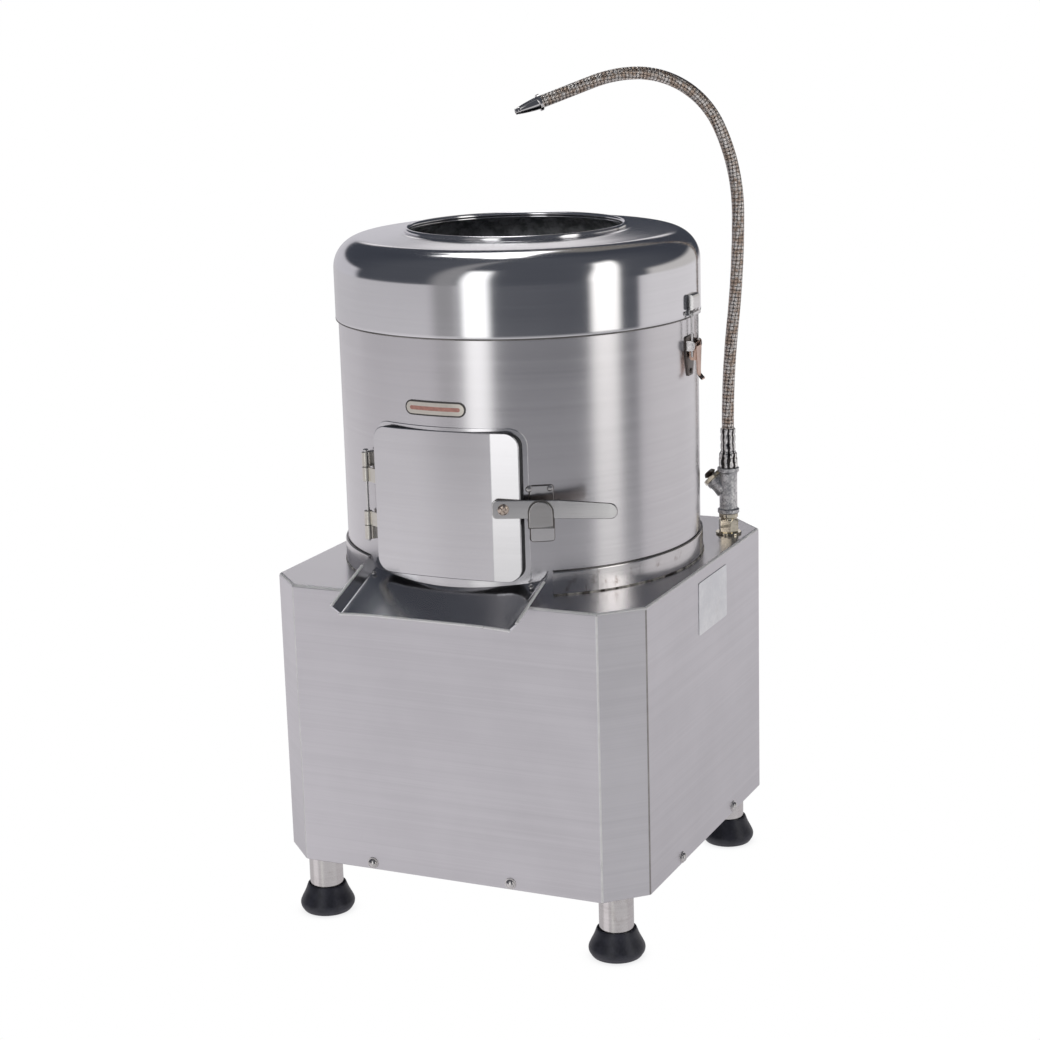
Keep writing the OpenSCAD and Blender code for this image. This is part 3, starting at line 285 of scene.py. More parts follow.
# ---- Material tools ----
class Graph:
    def __init__(self, tree):
        self.tree = tree
        tree.nodes.clear()

    def add(self, kind, ins=None, **props):
        node = self.tree.nodes.new("ShaderNode" + kind)
        for key, value in props.items():
            setattr(node, key, value)
        for key, value in (ins or {}).items():
            if isinstance(value, bpy.types.NodeSocket):
                self.tree.links.new(value, node.inputs[key])
            else:
                node.inputs[key].default_value = value
        return node

    def math(self, op, a, b=0.0, c=0.0):
        return self.add("Math", {0: a, 1: b, 2: c}, operation=op).outputs[0]

    def times(self, a, b):
        return self.math("MULTIPLY", a, b)

    def plus(self, a, b):
        return self.math("ADD", a, b)

    def span(self, value, a, b, low=0.0, high=1.0):
        return self.add("MapRange", {"Value": value, "From Min": a, "From Max": b, "To Min": low,
                                     "To Max": high}, interpolation_type="SMOOTHSTEP").outputs[0]

    def mix(self, factor, a, b):
        return self.add("Mix", {0: factor, 6: a, 7: b}, data_type="RGBA").outputs[2]

    def noise(self, vector, scale, detail=3.0, rough=0.55, stretch=(1, 1, 1)):
        vector = self.add("Mapping", {"Vector": vector, "Scale": stretch}).outputs[0]
        return self.add("TexNoise", {"Vector": vector, "Scale": scale, "Detail": detail,
                                     "Roughness": rough}).outputs[0]

    def bump(self, height, strength, distance):
        return self.add("Bump", {"Strength": strength, "Distance": distance,
                                 "Height": height}).outputs[0]

    def place(self):
        return self.add("TexCoord").outputs["Object"]


def rgb(r, g, b):
    return (r, g, b, 1.0)


def surface(name, build):
    """A Principled material. build(graph) returns the shader's inputs."""
    mat = bpy.data.materials.new(name)
    mat.use_nodes = True
    graph = Graph(mat.node_tree)
    shader = graph.add("BsdfPrincipled", build(graph))
    out = graph.add("OutputMaterial")
    mat.node_tree.links.new(shader.outputs[0], out.inputs[0])
    return mat


def steel(name, colour, rough, grain, spread=0.08, wave=0.0, around=False, aniso=0.0,
          fine=0.0004, cloud=0.05, stain=0.0, stain_at=None):
    """Brushed or rolled sheet: fine lines, cloudy tone and a slight waviness of the sheet."""
    def build(g):
        at = g.place()
        lines = g.noise(at, 1.0, 4.0, 0.7, grain)
        wide = g.noise(at, 1.0, 2.0, 0.5, tuple(v / 6 for v in grain))
        haze = g.noise(at, 9.0, 3.0, 0.6)
        tone = g.plus(g.times(lines, 0.5), g.times(wide, 0.5))
        dark = rgb(*[c * (1 - cloud) for c in colour])
        light = rgb(*[min(c * (1 + cloud), 1) for c in colour])
        blend = g.plus(g.times(tone, 0.6), g.times(haze, 0.4))
        base = g.mix(g.span(blend, 0.35, 0.65), dark, light)
        if stain:
            spots = g.span(g.noise(at, 46.0, 5.0, 0.7), 0.52, 0.72)
            if stain_at:
                height = g.add("SeparateXYZ", {0: at}).outputs[2]
                spots = g.times(spots, g.span(height, stain_at[0], stain_at[1], 1.0, 0.0))
            base = g.mix(g.times(spots, stain), base, rgb(0.22, 0.16, 0.12))
        ins = {"Base Color": base, "Metallic": 1.0,
               "Roughness": g.plus(g.math("MULTIPLY_ADD", tone, spread, rough - spread / 2),
                                   g.math("MULTIPLY_ADD", haze, 0.06, -0.03))}
        height = g.times(lines, fine)
        if wave:
            swell = g.noise(at, 6.5, 1.0, 0.4, (1, 1, 0.6))
            height = g.plus(height, g.times(swell, wave))
        ins["Normal"] = g.bump(height, 1.0, 0.02)
        if aniso:
            ins["Anisotropic"] = aniso
            if around:
                ins["Tangent"] = g.add("Tangent", direction_type="RADIAL", axis="Z").outputs[0]
                ins["Anisotropic Rotation"] = 0.25
        return ins
    return surface(name, build)


def plain(name, colour, rough, vary=0.12, scale=60.0, metallic=0.0, coat=0.0, specular=0.5,
          second=None):
    """Plastic, rubber or paint with mottled tone and a fine grain."""
    def build(g):
        at = g.place()
        tone = g.noise(at, scale, 4.0, 0.65)
        fine = g.noise(at, scale * 12, 2.0, 0.5)
        dark = rgb(*(second or [c * (1 - vary) for c in colour]))
        light = rgb(*[c * (1 + vary) for c in colour])
        ins = {"Base Color": g.mix(g.span(tone, 0.35, 0.65), dark, light),
               "Metallic": metallic, "Roughness": g.math("MULTIPLY_ADD", tone, 0.16, rough - 0.08),
               "Specular IOR Level": specular,
               "Normal": g.bump(fine, 0.5, 0.0002)}
        if coat:
            ins["Coat Weight"] = coat
        return ins
    return surface(name, build)


BASE_STEEL = steel("base_steel", (0.73, 0.715, 0.74), 0.30, (3, 3, 520), wave=0.012, fine=0.0008)
DECK_STEEL = steel("deck_steel", (0.81, 0.795, 0.815), 0.26, (60, 3, 3), 0.06, 0.01, cloud=0.04)
DRUM_STEEL = steel("drum_steel", (0.75, 0.735, 0.75), 0.24, (3, 3, 620), wave=0.006, around=True,
                   aniso=0.5, cloud=0.04)
BAND_STEEL = steel("band_steel", (0.74, 0.72, 0.72), 0.22, (3, 3, 500), wave=0.02, around=True,
                   aniso=0.4, cloud=0.06, stain=0.85, stain_at=(0.400, 0.428))
LID_STEEL = steel("lid_steel", (0.78, 0.775, 0.79), 0.13, (4, 4, 420), 0.06, wave=0.014,
                  around=True, aniso=0.25, cloud=0.03, fine=0.0003)
DOOR_STEEL = steel("door_steel", (0.74, 0.73, 0.745), 0.17, (4, 4, 560), 0.06, wave=0.003,
                   cloud=0.03)
CHUTE_STEEL = steel("chute_steel", (0.66, 0.66, 0.68), 0.17, (200, 8, 8), 0.06, wave=0.006)
HINGE_STEEL = steel("hinge_steel", (0.82, 0.79, 0.72), 0.30, (60, 60, 300), cloud=0.06, stain=0.15)
# Near-black steel for the toggle's base plate: a painted shadow beside the lever.
SHADOWED_PLATE = steel("plate_painted_shadow", (0.17, 0.15, 0.14), 0.36, (90, 90, 300), cloud=0.25)
# Dark steel for the tilted edges and outlines of the latch and keeper: a painted shade along their
# edges, with some grime.
EDGE_SHADE_AND_GRIME = steel("edge_shade_and_grime", (0.20, 0.18, 0.17), 0.34, (90, 90, 300), cloud=0.2)
KEEPER_STEEL = steel("keeper_steel", (0.60, 0.585, 0.57), 0.22, (8, 8, 420), 0.06, cloud=0.06)
POLISHED = steel("polished_fitting", (0.78, 0.76, 0.75), 0.08, (90, 90, 200), 0.05)
BAR_STEEL = steel("bar_steel", (0.74, 0.73, 0.72), 0.15, (8, 8, 420), 0.06)
FITTING_STEEL = steel("fitting_steel", (0.76, 0.745, 0.74), 0.20, (90, 90, 300))
BOLT_STEEL = steel("bolt_steel", (0.70, 0.68, 0.67), 0.26, (150, 150, 150), 0.10, cloud=0.10,
                   stain=0.2)
LEG_STEEL = steel("leg_steel", (0.74, 0.71, 0.70), 0.20, (20, 20, 420), cloud=0.08, stain=0.25)
RUSTY_STEEL = steel("rusty_steel", (0.66, 0.55, 0.47), 0.32, (150, 150, 150), 0.10, cloud=0.15,
                    stain=0.6)
WORN_LEVER = steel("worn_lever", (0.62, 0.44, 0.36), 0.24, (60, 60, 300), cloud=0.16, stain=0.6)
BRASS = steel("brass", (0.78, 0.71, 0.57), 0.10, (90, 90, 300), cloud=0.3, stain=0.95)
IRON = plain("grey_paint", (0.115, 0.13, 0.15), 0.42, coat=0.15)
DARK_PAINT = plain("dark_paint", (0.075, 0.08, 0.09), 0.45)
FOOT_RUBBER = plain("foot_rubber", (0.036, 0.037, 0.050), 0.42, vary=0.22, scale=120.0)
RUBBER = plain("rubber", (0.022, 0.022, 0.024), 0.55, vary=0.2)
BLACK = plain("black_plastic", (0.030, 0.030, 0.032), 0.42, vary=0.1)
GREEN = plain("green_plastic", (0.03, 0.30, 0.08), 0.25, coat=0.4)
RED = plain("red_plastic", (0.50, 0.028, 0.025), 0.25, coat=0.4)
CREAM = plain("cream_plastic", (0.70, 0.67, 0.58), 0.40)
DARK_LINE = plain("badge_outline", (0.07, 0.065, 0.06), 0.35)
# Near-white paint for the cabinet's folds and the chute's hems: a painted highlight.
PAINTED_HIGHLIGHT = plain("painted_highlight_hem", (0.93, 0.92, 0.91), 0.30, vary=0.06, metallic=0.15, specular=1.0)
# Dark grey for the side folds at the cabinet's corners: a painted shade.
FOLD_SHADE = steel("fold_painted_shade", (0.36, 0.34, 0.33), 0.30, (60, 60, 60), cloud=0.3)
# Dark steel for thin lines where parts meet: a painted shade of the joints.
SEAM_SHADE = steel("painted_seam_shade", (0.21, 0.20, 0.19), 0.34, (90, 90, 90), cloud=0.35)
# Mottled dark brown and light metal for the foot of the drum's band: partly grime, partly a painted
# shade of the joint.
JOINT_SHADE_AND_GRIME = plain("joint_shade_and_grime", (0.66, 0.63, 0.58), 0.35, scale=75.0, metallic=0.8,
              second=(0.045, 0.036, 0.030))
LINING = plain("lid_lining", (0.62, 0.63, 0.65), 0.50, scale=70.0, second=(0.30, 0.31, 0.33))
BADGE = steel("badge_metal", (0.78, 0.74, 0.66), 0.30, (300, 300, 300), cloud=0.06)
BADGE_RED = plain("badge_stripe", (0.56, 0.27, 0.22), 0.45, vary=0.10, scale=200.0)
LABEL = steel("plate_film", (0.90, 0.92, 0.94), 0.30, (160, 160, 160), 0.06, cloud=0.10, stain=0.12)
CAST_ALU = steel("cast_aluminium", (0.62, 0.62, 0.63), 0.38, (60, 60, 60), 0.1, cloud=0.08)


def cast(g):
    """Bare cast metal with a sandy grain."""
    at = g.place()
    grain = g.noise(at, 420.0, 5.0, 0.7)
    patch = g.noise(at, 90.0, 3.0, 0.6)
    tone = g.plus(g.times(grain, 0.6), g.times(patch, 0.4))
    return {"Base Color": g.mix(g.span(tone, 0.42, 0.58), rgb(0.46, 0.46, 0.47),
                                rgb(0.88, 0.87, 0.86)),
            "Metallic": 1.0, "Roughness": g.math("MULTIPLY_ADD", grain, 0.20, 0.20),
            "Normal": g.bump(grain, 0.45, 0.0009)}


def grit(g):
    """Abrasive grains, each with its own tone."""
    at = g.place()
    cells = g.add("TexVoronoi", {"Vector": at, "Scale": 420.0})
    patch = g.noise(at, 30.0, 3.0, 0.6)
    tone = g.add("SeparateColor", {0: cells.outputs["Color"]}).outputs[0]
    return {"Base Color": g.mix(g.math("MULTIPLY_ADD", tone, 0.6, g.times(patch, 0.4)),
                                rgb(0.10, 0.105, 0.11), rgb(0.50, 0.51, 0.52)),
            "Roughness": g.math("MULTIPLY_ADD", tone, 0.3, 0.55),
            "Normal": g.bump(g.math("SUBTRACT", 1.0, cells.outputs["Distance"]), 0.9, 0.002)}


def braid(g):
    """Two families of wire bands that cross round the hose. U is the turn, V the length in mm."""
    uv = g.add("SeparateXYZ", {0: g.add("UVMap", uv_map="along").outputs[0]})
    turn, run = uv.outputs[0], uv.outputs[1]

    def wave(around, along):
        phase = g.plus(g.times(turn, around), g.times(run, along))
        return g.math("SINE", g.times(phase, 2 * pi))
    stray = g.times(g.noise(g.place(), 85.0, 2.0, 0.5), 1.3)
    turn = g.math("MULTIPLY_ADD", stray, 0.05, turn)
    left, right = wave(5.0, 0.11), wave(5.0, -0.13)
    over = g.span(g.times(left, right), -0.1, 0.1)
    strands = g.mix(over, wave(35.0, 0.80), wave(35.0, -0.80))
    plait = g.plus(left, right)
    height = g.math("MULTIPLY_ADD", strands, 0.14, g.times(g.math("ABSOLUTE", plait), 0.5))
    tone = g.noise(g.place(), 150.0, 3.0, 0.6)
    wire = g.mix(g.span(tone, 0.38, 0.62), rgb(0.93, 0.89, 0.85), rgb(0.60, 0.47, 0.38))
    # The low parts between the wires are coloured near-black: a painted shade between the strands.
    return {"Base Color": g.mix(g.span(height, 0.04, 0.36), rgb(0.05, 0.04, 0.035), wire),
            "Metallic": 1.0, "Roughness": 0.17, "Normal": g.bump(height, 0.8, 0.0006)}


def crimped(g):
    """Bright ferrule with dark stripes down its sides: a painted shade of crimp grooves, which are
    also bumped.
    """
    at = g.add("SeparateXYZ", {0: g.place()})
    turn = g.math("ARCTAN2", g.math("SUBTRACT", at.outputs[1], SPRAY_Y * MM),
                  g.math("SUBTRACT", at.outputs[0], SPRAY_X * MM))
    stray = g.noise(g.place(), 120.0, 3.0, 0.6)
    groove_and_shade = g.math("SINE", g.math("MULTIPLY_ADD", turn, 9.0, g.times(stray, 5.0)))
    return {"Base Color": g.mix(g.span(groove_and_shade, -0.45, 0.15), rgb(0.05, 0.045, 0.045),
                                rgb(0.92, 0.90, 0.88)),
            "Metallic": 1.0, "Roughness": g.math("MULTIPLY_ADD", stray, 0.12, 0.10),
            "Normal": g.bump(groove_and_shade, 0.8, 0.0006)}


CAST = surface("cast_valve", cast)
CRIMPED = surface("crimped_ferrule", crimped)
GRIT = surface("grit", grit)
BRAID = surface("hose_braid", braid)


# ---- Cabinet ----
def cabinet(inset=0):
    """The cabinet seen from above, a square with cut corners."""
    a = HALF_W - inset
    c = a - CUT + inset * (sqrt(2) - 1)
    return fillet([(a, -c), (a, c), (c, a), (-c, a), (-a, c), (-a, -c), (-c, -a), (c, -a)],
                  max(4.0 - inset * 0.4, 0.3), 4)


def level(face):
    return abs(face.normal.z) < 0.1


walls = Shape().stack(
    cabinet, [(SHEET, BASE_Z + 0.4), (SHEET - 0.5, BASE_Z), (0.5, BASE_Z), (0, BASE_Z + 0.5)]
    + slab(BASE_Z + 1, DECK_Z, 3.2, 5, (False, True)), caps=(False, True))
inner = Shape().stack(cabinet, [(SHEET, BASE_Z + 0.4), (SHEET, DECK_Z - SHEET)], caps=(False, True))
walls.f += [tuple(len(walls.v) + i for i in face) for face in inner.f]
walls.v += inner.v
housing = make("cabinet_sheet", walls, [BASE_STEEL, DECK_STEEL, PAINTED_HIGHLIGHT, FOLD_SHADE], "cabinet",
               ("base_housing", "back_panel", "deck_plate"), 30)
second_tone(housing, lambda face: face.center.z > (DECK_Z - 1.5) * MM)
# The rounded top fold and the folds facing front and back get a painted highlight; the folds facing
# the sides get a painted shade.
second_tone(housing, lambda face: 0.2 < face.normal.z < 0.97, 2)
second_tone(housing, lambda face: 0.72 < abs(face.normal.y) < 0.99 and level(face), 2)
second_tone(housing, lambda face: 0.72 < abs(face.normal.x) < 0.99 and level(face), 3)

legs, feet = Shape(), Shape()
for sx in (-1, 1):
    for sy in (-1, 1):
        at = move(sx * LEG, sy * LEG)
        legs.lathe([(17, 12), (19, 12), (19, BASE_Z), (17, BASE_Z), (17, 12)], 72, at)
        feet.lathe([(0, 0), (25, 0), (27, 0.6), (28.2, 2)] + arc(22.4, 9, 8.6, -42, 32, 7)
                   + [(29.0, 15.2), (27.9, 17.4), (26.6, 19.8), (25.3, 22.4), (24.2, 25.0),
                      (23.3, 27.4), (22.5, 29.6), (21.9, 31.2), (21.2, 31.9), (20.0, 32),
                      (19.3, 31.4), (19.2, 12), (0, 12)], 72, at)
make("leg_tubes_round", legs, LEG_STEEL, "cabinet", ("leg_tubes",))
make("bell_feet", feet, FOOT_RUBBER, "cabinet", ("rubber_feet",), 28)


def dome(r, low, high, angles):
    return [(r * cos(radians(a)), low + high * sin(radians(a))) for a in angles]


def pan_head(shape, d, h, m):
    r = d / 2
    shape.lathe([(0, 0), (r * 0.96, 0), (r, 0.3), (r, h * 0.35)]
                + dome(r, h * 0.35, h * 0.65, (20, 40, 60, 75)) + [(0, h)], 32, m)


bolts = Shape()
for side in range(4):
    for s in (-1, 1):
        shift = 11 if side == 0 else 0
        m = turned(side * 90) @ move(s * BOLT_X - shift, -HALF_W, BOLT_Z) @ turned(90, "X")
        bolts.lathe([(0, 0), (6.4, 0), (6.6, 0.3), (6.4, 0.9), (5, 1.0), (5, 1.4)]
                    + dome(5, 1.4, 3.1, (15, 30, 45, 60, 75)) + [(0, 4.5)], 32, m)
        bolts.lathe([(0, -9), (3, -9), (3, -5.1)], 24, m)
make("edge_bolts_domed", bolts, BOLT_STEEL, "cabinet", ("edge_bolts",))

panel = Shape()
middle = move(0, HALF_W, PANEL_Z) @ turned(180) @ turned(90, "X")
edges = ((-44, 0.05), (-42, 1.2), (-38, 2.2), (38, 2.2), (42, 1.2), (44, 0.05))
louvre = [[(u, -3.5 - h * 0.2, 0), (u, -3.5, h), (u, -1.5, h * 0.92), (u, 1.2, h * 0.55),
           (u, 4.2, 0)] for u, h in edges]
panel.stack(rounded(280, 160, 6), slab(0, 1.5, 0.4), middle)
for x in (-1, 1):
    for k in range(8):
        panel.loft(louvre, (False, False), middle @ move(x * 56, -47 + 13 * k, 1.5), loop=False)
make("louvred_panel", panel, BASE_STEEL, "cabinet", ("access_panel",))
screws = Shape()
for x in (-1, 1):
    for z in (-1, 1):
        at = move(x * 131, HALF_W + 1.5, PANEL_Z + z * 71) @ turned(-90, "X")
        pan_head(screws, 8, 3, at)
make("panel_screws", screws, BOLT_STEEL, "cabinet", ("access_screws",))

plate = Shape().stack(rounded(90, 60, 2.5), slab(0, 0.8, 0.25),
                      move(HALF_W, PLATE_Y, PLATE_Z) @ turned(90) @ turned(90, "X"))
make("blank_plate", plate, LABEL, "cabinet", ("rating_plate",))

# ---- Drum ----
window = Shape().stack(rounded(WINDOW, WINDOW, WINDOW_R, 8), [(0, 100), (0, 260)],
                       move(0, 0, DOOR_Z) @ turned(90, "X"))
shell = Shape().lathe([(DRUM_IN, DECK_Z)] + [(DRUM_R, DECK_Z + up) for up in (0, 80, 160, 230)]
                      + [(DRUM_R, DRUM_TOP - 0.5), (DRUM_R - 0.5, DRUM_TOP),
                         (DRUM_IN + 0.5, DRUM_TOP), (DRUM_IN, DRUM_TOP - 0.5), (DRUM_IN, DECK_Z)],
                      360)
make("drum_wall", shell, DRUM_STEEL, "cabinet", ("drum_shell",), 30, cuts=window)


def sweep(shape, section, a0, a1, step=1.0):
    """A section of radius and height swept round the drum's axis."""
    n = max(2, ceil((a1 - a0) / step))
    shape.loft([[(r * cos(a), r * sin(a), z) for r, z in section]
                for a in [radians(a0 + (a1 - a0) * i / n) for i in reversed(range(n + 1))]])


gap = degrees(asin(111 / (DRUM_R + BAND_T)))
band = Shape()
joints = [-90 + gap, -43, -28, 2, 92, 182, 270 - gap]
for a0, a1 in zip(joints, joints[1:]):
    section = [(0.02, 0.02), (2.6, 0.02), (BAND_T, 0.6), (BAND_T, BAND_H - 1.6),
               (2.5, BAND_H - 0.5), (1.2, BAND_H), (0.02, BAND_H)]
    sweep(band, [(DRUM_R + n, DECK_Z + z) for n, z in section], a0 + 0.06, a1 - 0.06)
for a in (-56.0, -43, -28, 2, 92, 182):
    for z, r in ((DECK_Z + BAND_H - 2.5, 2.4), (DECK_Z + 3.2, 2.8)):
        band.lathe([(0, -1), (r, -1), (r, 1.6), (r * 0.75, 2.6), (0, 2.95)], 14,
                   facing(a, z) @ move(z=DRUM_R))
make("drum_band_seamed", band, BAND_STEEL, "cabinet", ("drum_band",), 40)

# Two thin rings round the band: a dark line along its top, a painted shade, and a mottled line at
# its foot on the deck, grime and painted shade.
for label, r, z, thick, mat in (("band_top_shade", DRUM_R + 1.0, DECK_Z + BAND_H + 0.25, 0.6, SEAM_SHADE),
                                ("deck_joint_shade_and_grime", DRUM_R + BAND_T + 0.2, DECK_Z + 0.7, 0.9, JOINT_SHADE_AND_GRIME)):
    turns = [radians(a) for a in range(round(gap) - 90, 271 - round(gap), 2)]
    line = Shape().pipe([(r * cos(a), r * sin(a), z) for a in turns], thick, 10)
    make(label, line, mat, "cabinet")

strip = Shape().stack(rounded(DOOR_W + 8, DOOR_H + 18, CORNER + 4),
                      slab(DRUM_R - 0.4, FRAME_R, 0.5), move(0, -5))
make("door_frame_strip", strip, DOOR_STEEL, "cabinet", ("door_frame",), 30,
     cuts=window, warp=on_cylinder, split=range(-88, 89, 4))

# ---- Door ----
folds = sorted({*range(-84, 85, 4), -BEVEL - 1, -BEVEL + 1, BEVEL - 1, BEVEL + 1})
door = Shape().stack(rounded(DOOR_W, DOOR_H, CORNER), [(1.2, -1.2), (0.2, -1.1), (0, -DOOR_SHEET)]
                     + [(DOOR_SHEET - DOOR_SHEET * cos(a), -DOOR_SHEET + DOOR_SHEET * sin(a))
                        for a in (0.3, 0.6, 0.9, 1.2, pi / 2)])
make("door_pan", door, DOOR_STEEL, "door", ("door_panel",), 30, warp=on_door,
     split=folds)


def gasket_line(inset, n):
    line = rounded(DOOR_W - 2 * inset, DOOR_H - 2 * inset, CORNER - inset)(0)
    return [(x, y, n) for x, y in line]


gasket = Shape()
gasket.loft([gasket_line(SEAL_OUT, 0), gasket_line(SEAL_OUT, 1)], (False, False))
gasket.loft([gasket_line(SEAL_IN, 1), gasket_line(SEAL_IN, 0)], (False, False))
for n in (0, 1):
    gasket.loft([gasket_line(SEAL_OUT, n), gasket_line(SEAL_IN, n)], (False, False))
make("door_gasket", gasket, RUBBER, "door", ("door_seal",), 30, warp=on_gasket,
     split=folds)


def at_hinge(z):
    return turned(HINGE_TURN) @ move(HINGE_R, 0, DOOR_Z + z)


def knuckle(shape, bore, z):
    shape.lathe([(bore, 0), (4.2, 0), (KNUCKLE, 0.3), (KNUCKLE, LEAF_H - 0.3), (4.2, LEAF_H),
                 (bore, LEAF_H), (bore, 0)], 32, at_hinge(z))


def leaf(shape, low, high, z, a0, a1, step=1.0):
    """A strap between two radii, swept round the drum's axis beside a knuckle."""
    z += DOOR_Z
    sweep(shape, [(low, z), (high, z), (high, z + LEAF_H), (low, z + LEAF_H)], a0, a1, step)


straps, fixed = Shape(), Shape()
for z in (14.5, -34):
    leaf(straps, DOOR_OUT - 1.45, DOOR_OUT + 0.02, z,
         HINGE_TURN, HINGE_TURN + degrees(23.5 / HINGE_R))
    knuckle(straps, 2.06, z)
make("door_straps", straps, HINGE_STEEL, "door", (), 35)
for z in (31, -50):
    knuckle(fixed, 2.0, z)
    leaf(fixed, DRUM_R + 0.02, DRUM_R + 3.6, z, HINGE_TURN - 1.1, HINGE_TURN + 1.1, 0.5)
make("hinge_leaves", fixed, HINGE_STEEL, "cabinet", ("hinge_knuckles",), 35)
pin = Shape().lathe([(0, 0), (1.6, 0), (1.98, 0.4), (1.98, 100.5), (3.0, 100.5), (3.0, 101.1),
                     (2.2, 101.9), (0, 102)], 24, at_hinge(-52))
make("hinge_rod", pin, FITTING_STEEL, "cabinet", ("hinge_pin",))

# ---- Latch ----
at_latch = facing(LATCH_TURN, DOOR_Z)


def bar_outline(inset):
    """The bar's face. Its edges are rounded at both ends and towards its middle line."""
    line = fillet([(-12, -10), (120, -10), (120, 6.5), (60, 10), (-12, 10)],
                  [5, 8.2, 8.2, 30, 5], 8)
    return [(x + (inset if x < 54 else -inset) * (x < -4 or x > 110), y * (1 - inset / 10))
            for x, y in line]


def bowed(x, y, n):
    return tuple(at_latch @ Vector((x, y, n + 0.0005 * ((x - 39) ** 2 - 39 ** 2))))


bar = Shape().stack(bar_outline, slab(BAR_N + 2.6, BAR_N + 5, 1.0, 4))
outwards = at_latch.to_3x3() @ Vector((0, 0, 1))


def edge_on(face):
    return face.normal.dot(outwards) < 0.80


strap = make("latch_strap", bar, [BAR_STEEL, EDGE_SHADE_AND_GRIME], "latch", ("latch_bar",),
             warp=bowed, split=range(-8, 118, 6))
# Faces turned away from the front get the dark edge material: a painted shade on the bar's edges.
second_tone(strap, edge_on)
screw = Shape().lathe([(0, DOOR_OUT - 3.5), (5, DOOR_OUT - 3.5), (5, DOOR_OUT - 2),
                       (3, DOOR_OUT - 2), (3, KEEPER_N)], 32, at_latch)
screw.lathe([(3, DOOR_OUT + 0.1), (6, DOOR_OUT + 0.1), (6, BAR_N + 2.4), (3, BAR_N + 2.4),
             (3, DOOR_OUT + 0.1)], 32, at_latch)
at_head = at_latch @ move(z=KEEPER_N)
screw.lathe([(0, 0), (5.8, 0), (6, 0.3), (5.9, 1.2), (5.3, 2.2), (4.2, 3.0), (2.6, 3.4), (0, 3.5)],
            40, at_head)
arm, half = 4.2, 0.75
quarter = [(arm, -half), (arm, half), (half, half)]
plus = []
for _ in range(4):
    plus += quarter
    quarter = [(-y, x) for x, y in quarter]
cross = Shape().stack(lambda inset: plus, [(0, 1.9), (0, 6)], at_head @ turned(45))
make("latch_cross_screw", screw, RUSTY_STEEL, "door", ("latch_screw",), 35,
     cuts=cross)


def keeper_tongue(inset):
    r = 12.5 - inset
    return [(-r, -19 + inset), (r, -19 + inset)] + arc(0, -3.5, r, 0, 180, 16)


at_tongue = at_latch @ move(KEEPER_X, 0, KEEPER_N + 1) @ turned(3, "Y")
# A dark slab a little wider than the tongue, just behind it: a painted shade round the tongue's
# edge.
rim = Shape().stack(lambda inset: keeper_tongue(inset - 1.3), slab(-1.4, -0.5, 0.3), at_tongue)
make("keeper_rim", rim, SEAM_SHADE, "cabinet", (), 35)
shelf = [(-17, DRUM_R + 1), (-17, KEEPER_N + 0.6), (-17.6, KEEPER_N + 1.6), (-19, KEEPER_N + 2),
         (-19, DRUM_R + 1)]
keeper = Shape().loft([[(x, y, n) for y, n in shelf] for x in (27, 52)], m=at_latch)
keeper.stack(keeper_tongue, slab(-1, 1, 1.0, 4), at_tongue)
keeper = make("keeper_loop", keeper, [KEEPER_STEEL, EDGE_SHADE_AND_GRIME], "cabinet",
              ("latch_keeper",), 35)
# The keeper's tilted faces get the dark edge material, a painted shade.
second_tone(keeper, edge_on)
foot_turn = LATCH_TURN + degrees(asin(KEEPER_X / 202.5))
# The dark outline slab under the keeper plate is a painted shade round the plate, with some grime.
for label, outline, low, high, soft, mat in (
        ("plate", card(25, 60, 3), 0.05, 2, 0.5, FITTING_STEEL),
        ("outline", card(26.8, 61.8, 4), 0.03, 0.5, 0.2, EDGE_SHADE_AND_GRIME)):
    flat = Shape().stack(outline, slab(DRUM_R + low, DRUM_R + high, soft))
    make("keeper_" + label, flat, mat, "cabinet", (), 35,
         split=range(-12, 13, 3), warp=wrapped(foot_turn, DOOR_Z - 8, 201.5))
bumps = Shape()
for a in (-63.6, -57.2):
    bumps.lathe([(0, 0.2), (3.6, 0.2), (3.5, 1.8), (2.6, 3.0), (0, 3.5)], 20,
                facing(a, DOOR_Z + 19) @ move(z=DRUM_R))
make("keeper_rivets", bumps, BOLT_STEEL, "cabinet")

# ---- Chute ----
SLOPE, LIP_Y, CHUTE_L = 20, -260, 92
lip_z = DECK_Z + 1.5 / cos(radians(SLOPE)) + 0.4 - 40 * tan(radians(SLOPE))
at_chute = move(0, LIP_Y, lip_z) @ turned(SLOPE, "X")


def sag(x):
    return -0.0009 * max(abs(x) - 50, 0) ** 2


edge = sag(97.5)
over = [(x, sag(x)) for x in (0, 25, 50, 57, 64, 71, 78, 84, 90, 94, 97.5)]
over += [(97.5 + 2.5 * sin(radians(a)), edge + 2.5 - 2.5 * cos(radians(a))) for a in (20, 41)]
over += [(107.9, edge + 8.5), (108.2, edge + 8.6)]
under = [(109, edge + 8.0), (108.7, edge + 7.6), (101.6, edge - 0.7), (100.6, edge - 1.4),
         (99, edge - 1.5)] + [(x, sag(x) - 1.5) for x in (90, 78, 64, 50, 0)]
half = over + under
section = half + [(-x, z) for x, z in reversed(half)][1:-1]
chute = Shape().loft([[(x, CHUTE_L * k / 46, z) for x, z in section] for k in range(47)],
                     m=at_chute)
hems = Shape().pipe([(x, 0, sag(x) - 0.9) for x in range(-100, 101, 5)], 1.5, 12, at_chute)
for s in (-1, 1):
    hems.pipe([(s * 108.4, y, edge + 8.4) for y in range(1, CHUTE_L - 14, 4)], 1.6, 12, at_chute)
ring = Shape().lathe([(DRUM_R + 1.76, DECK_Z - 40), (DRUM_R + 1.76, DECK_Z + 90)], 240)
make("chute_tray", chute, CHUTE_STEEL, "cabinet", ("chute",), 35, cuts=ring)
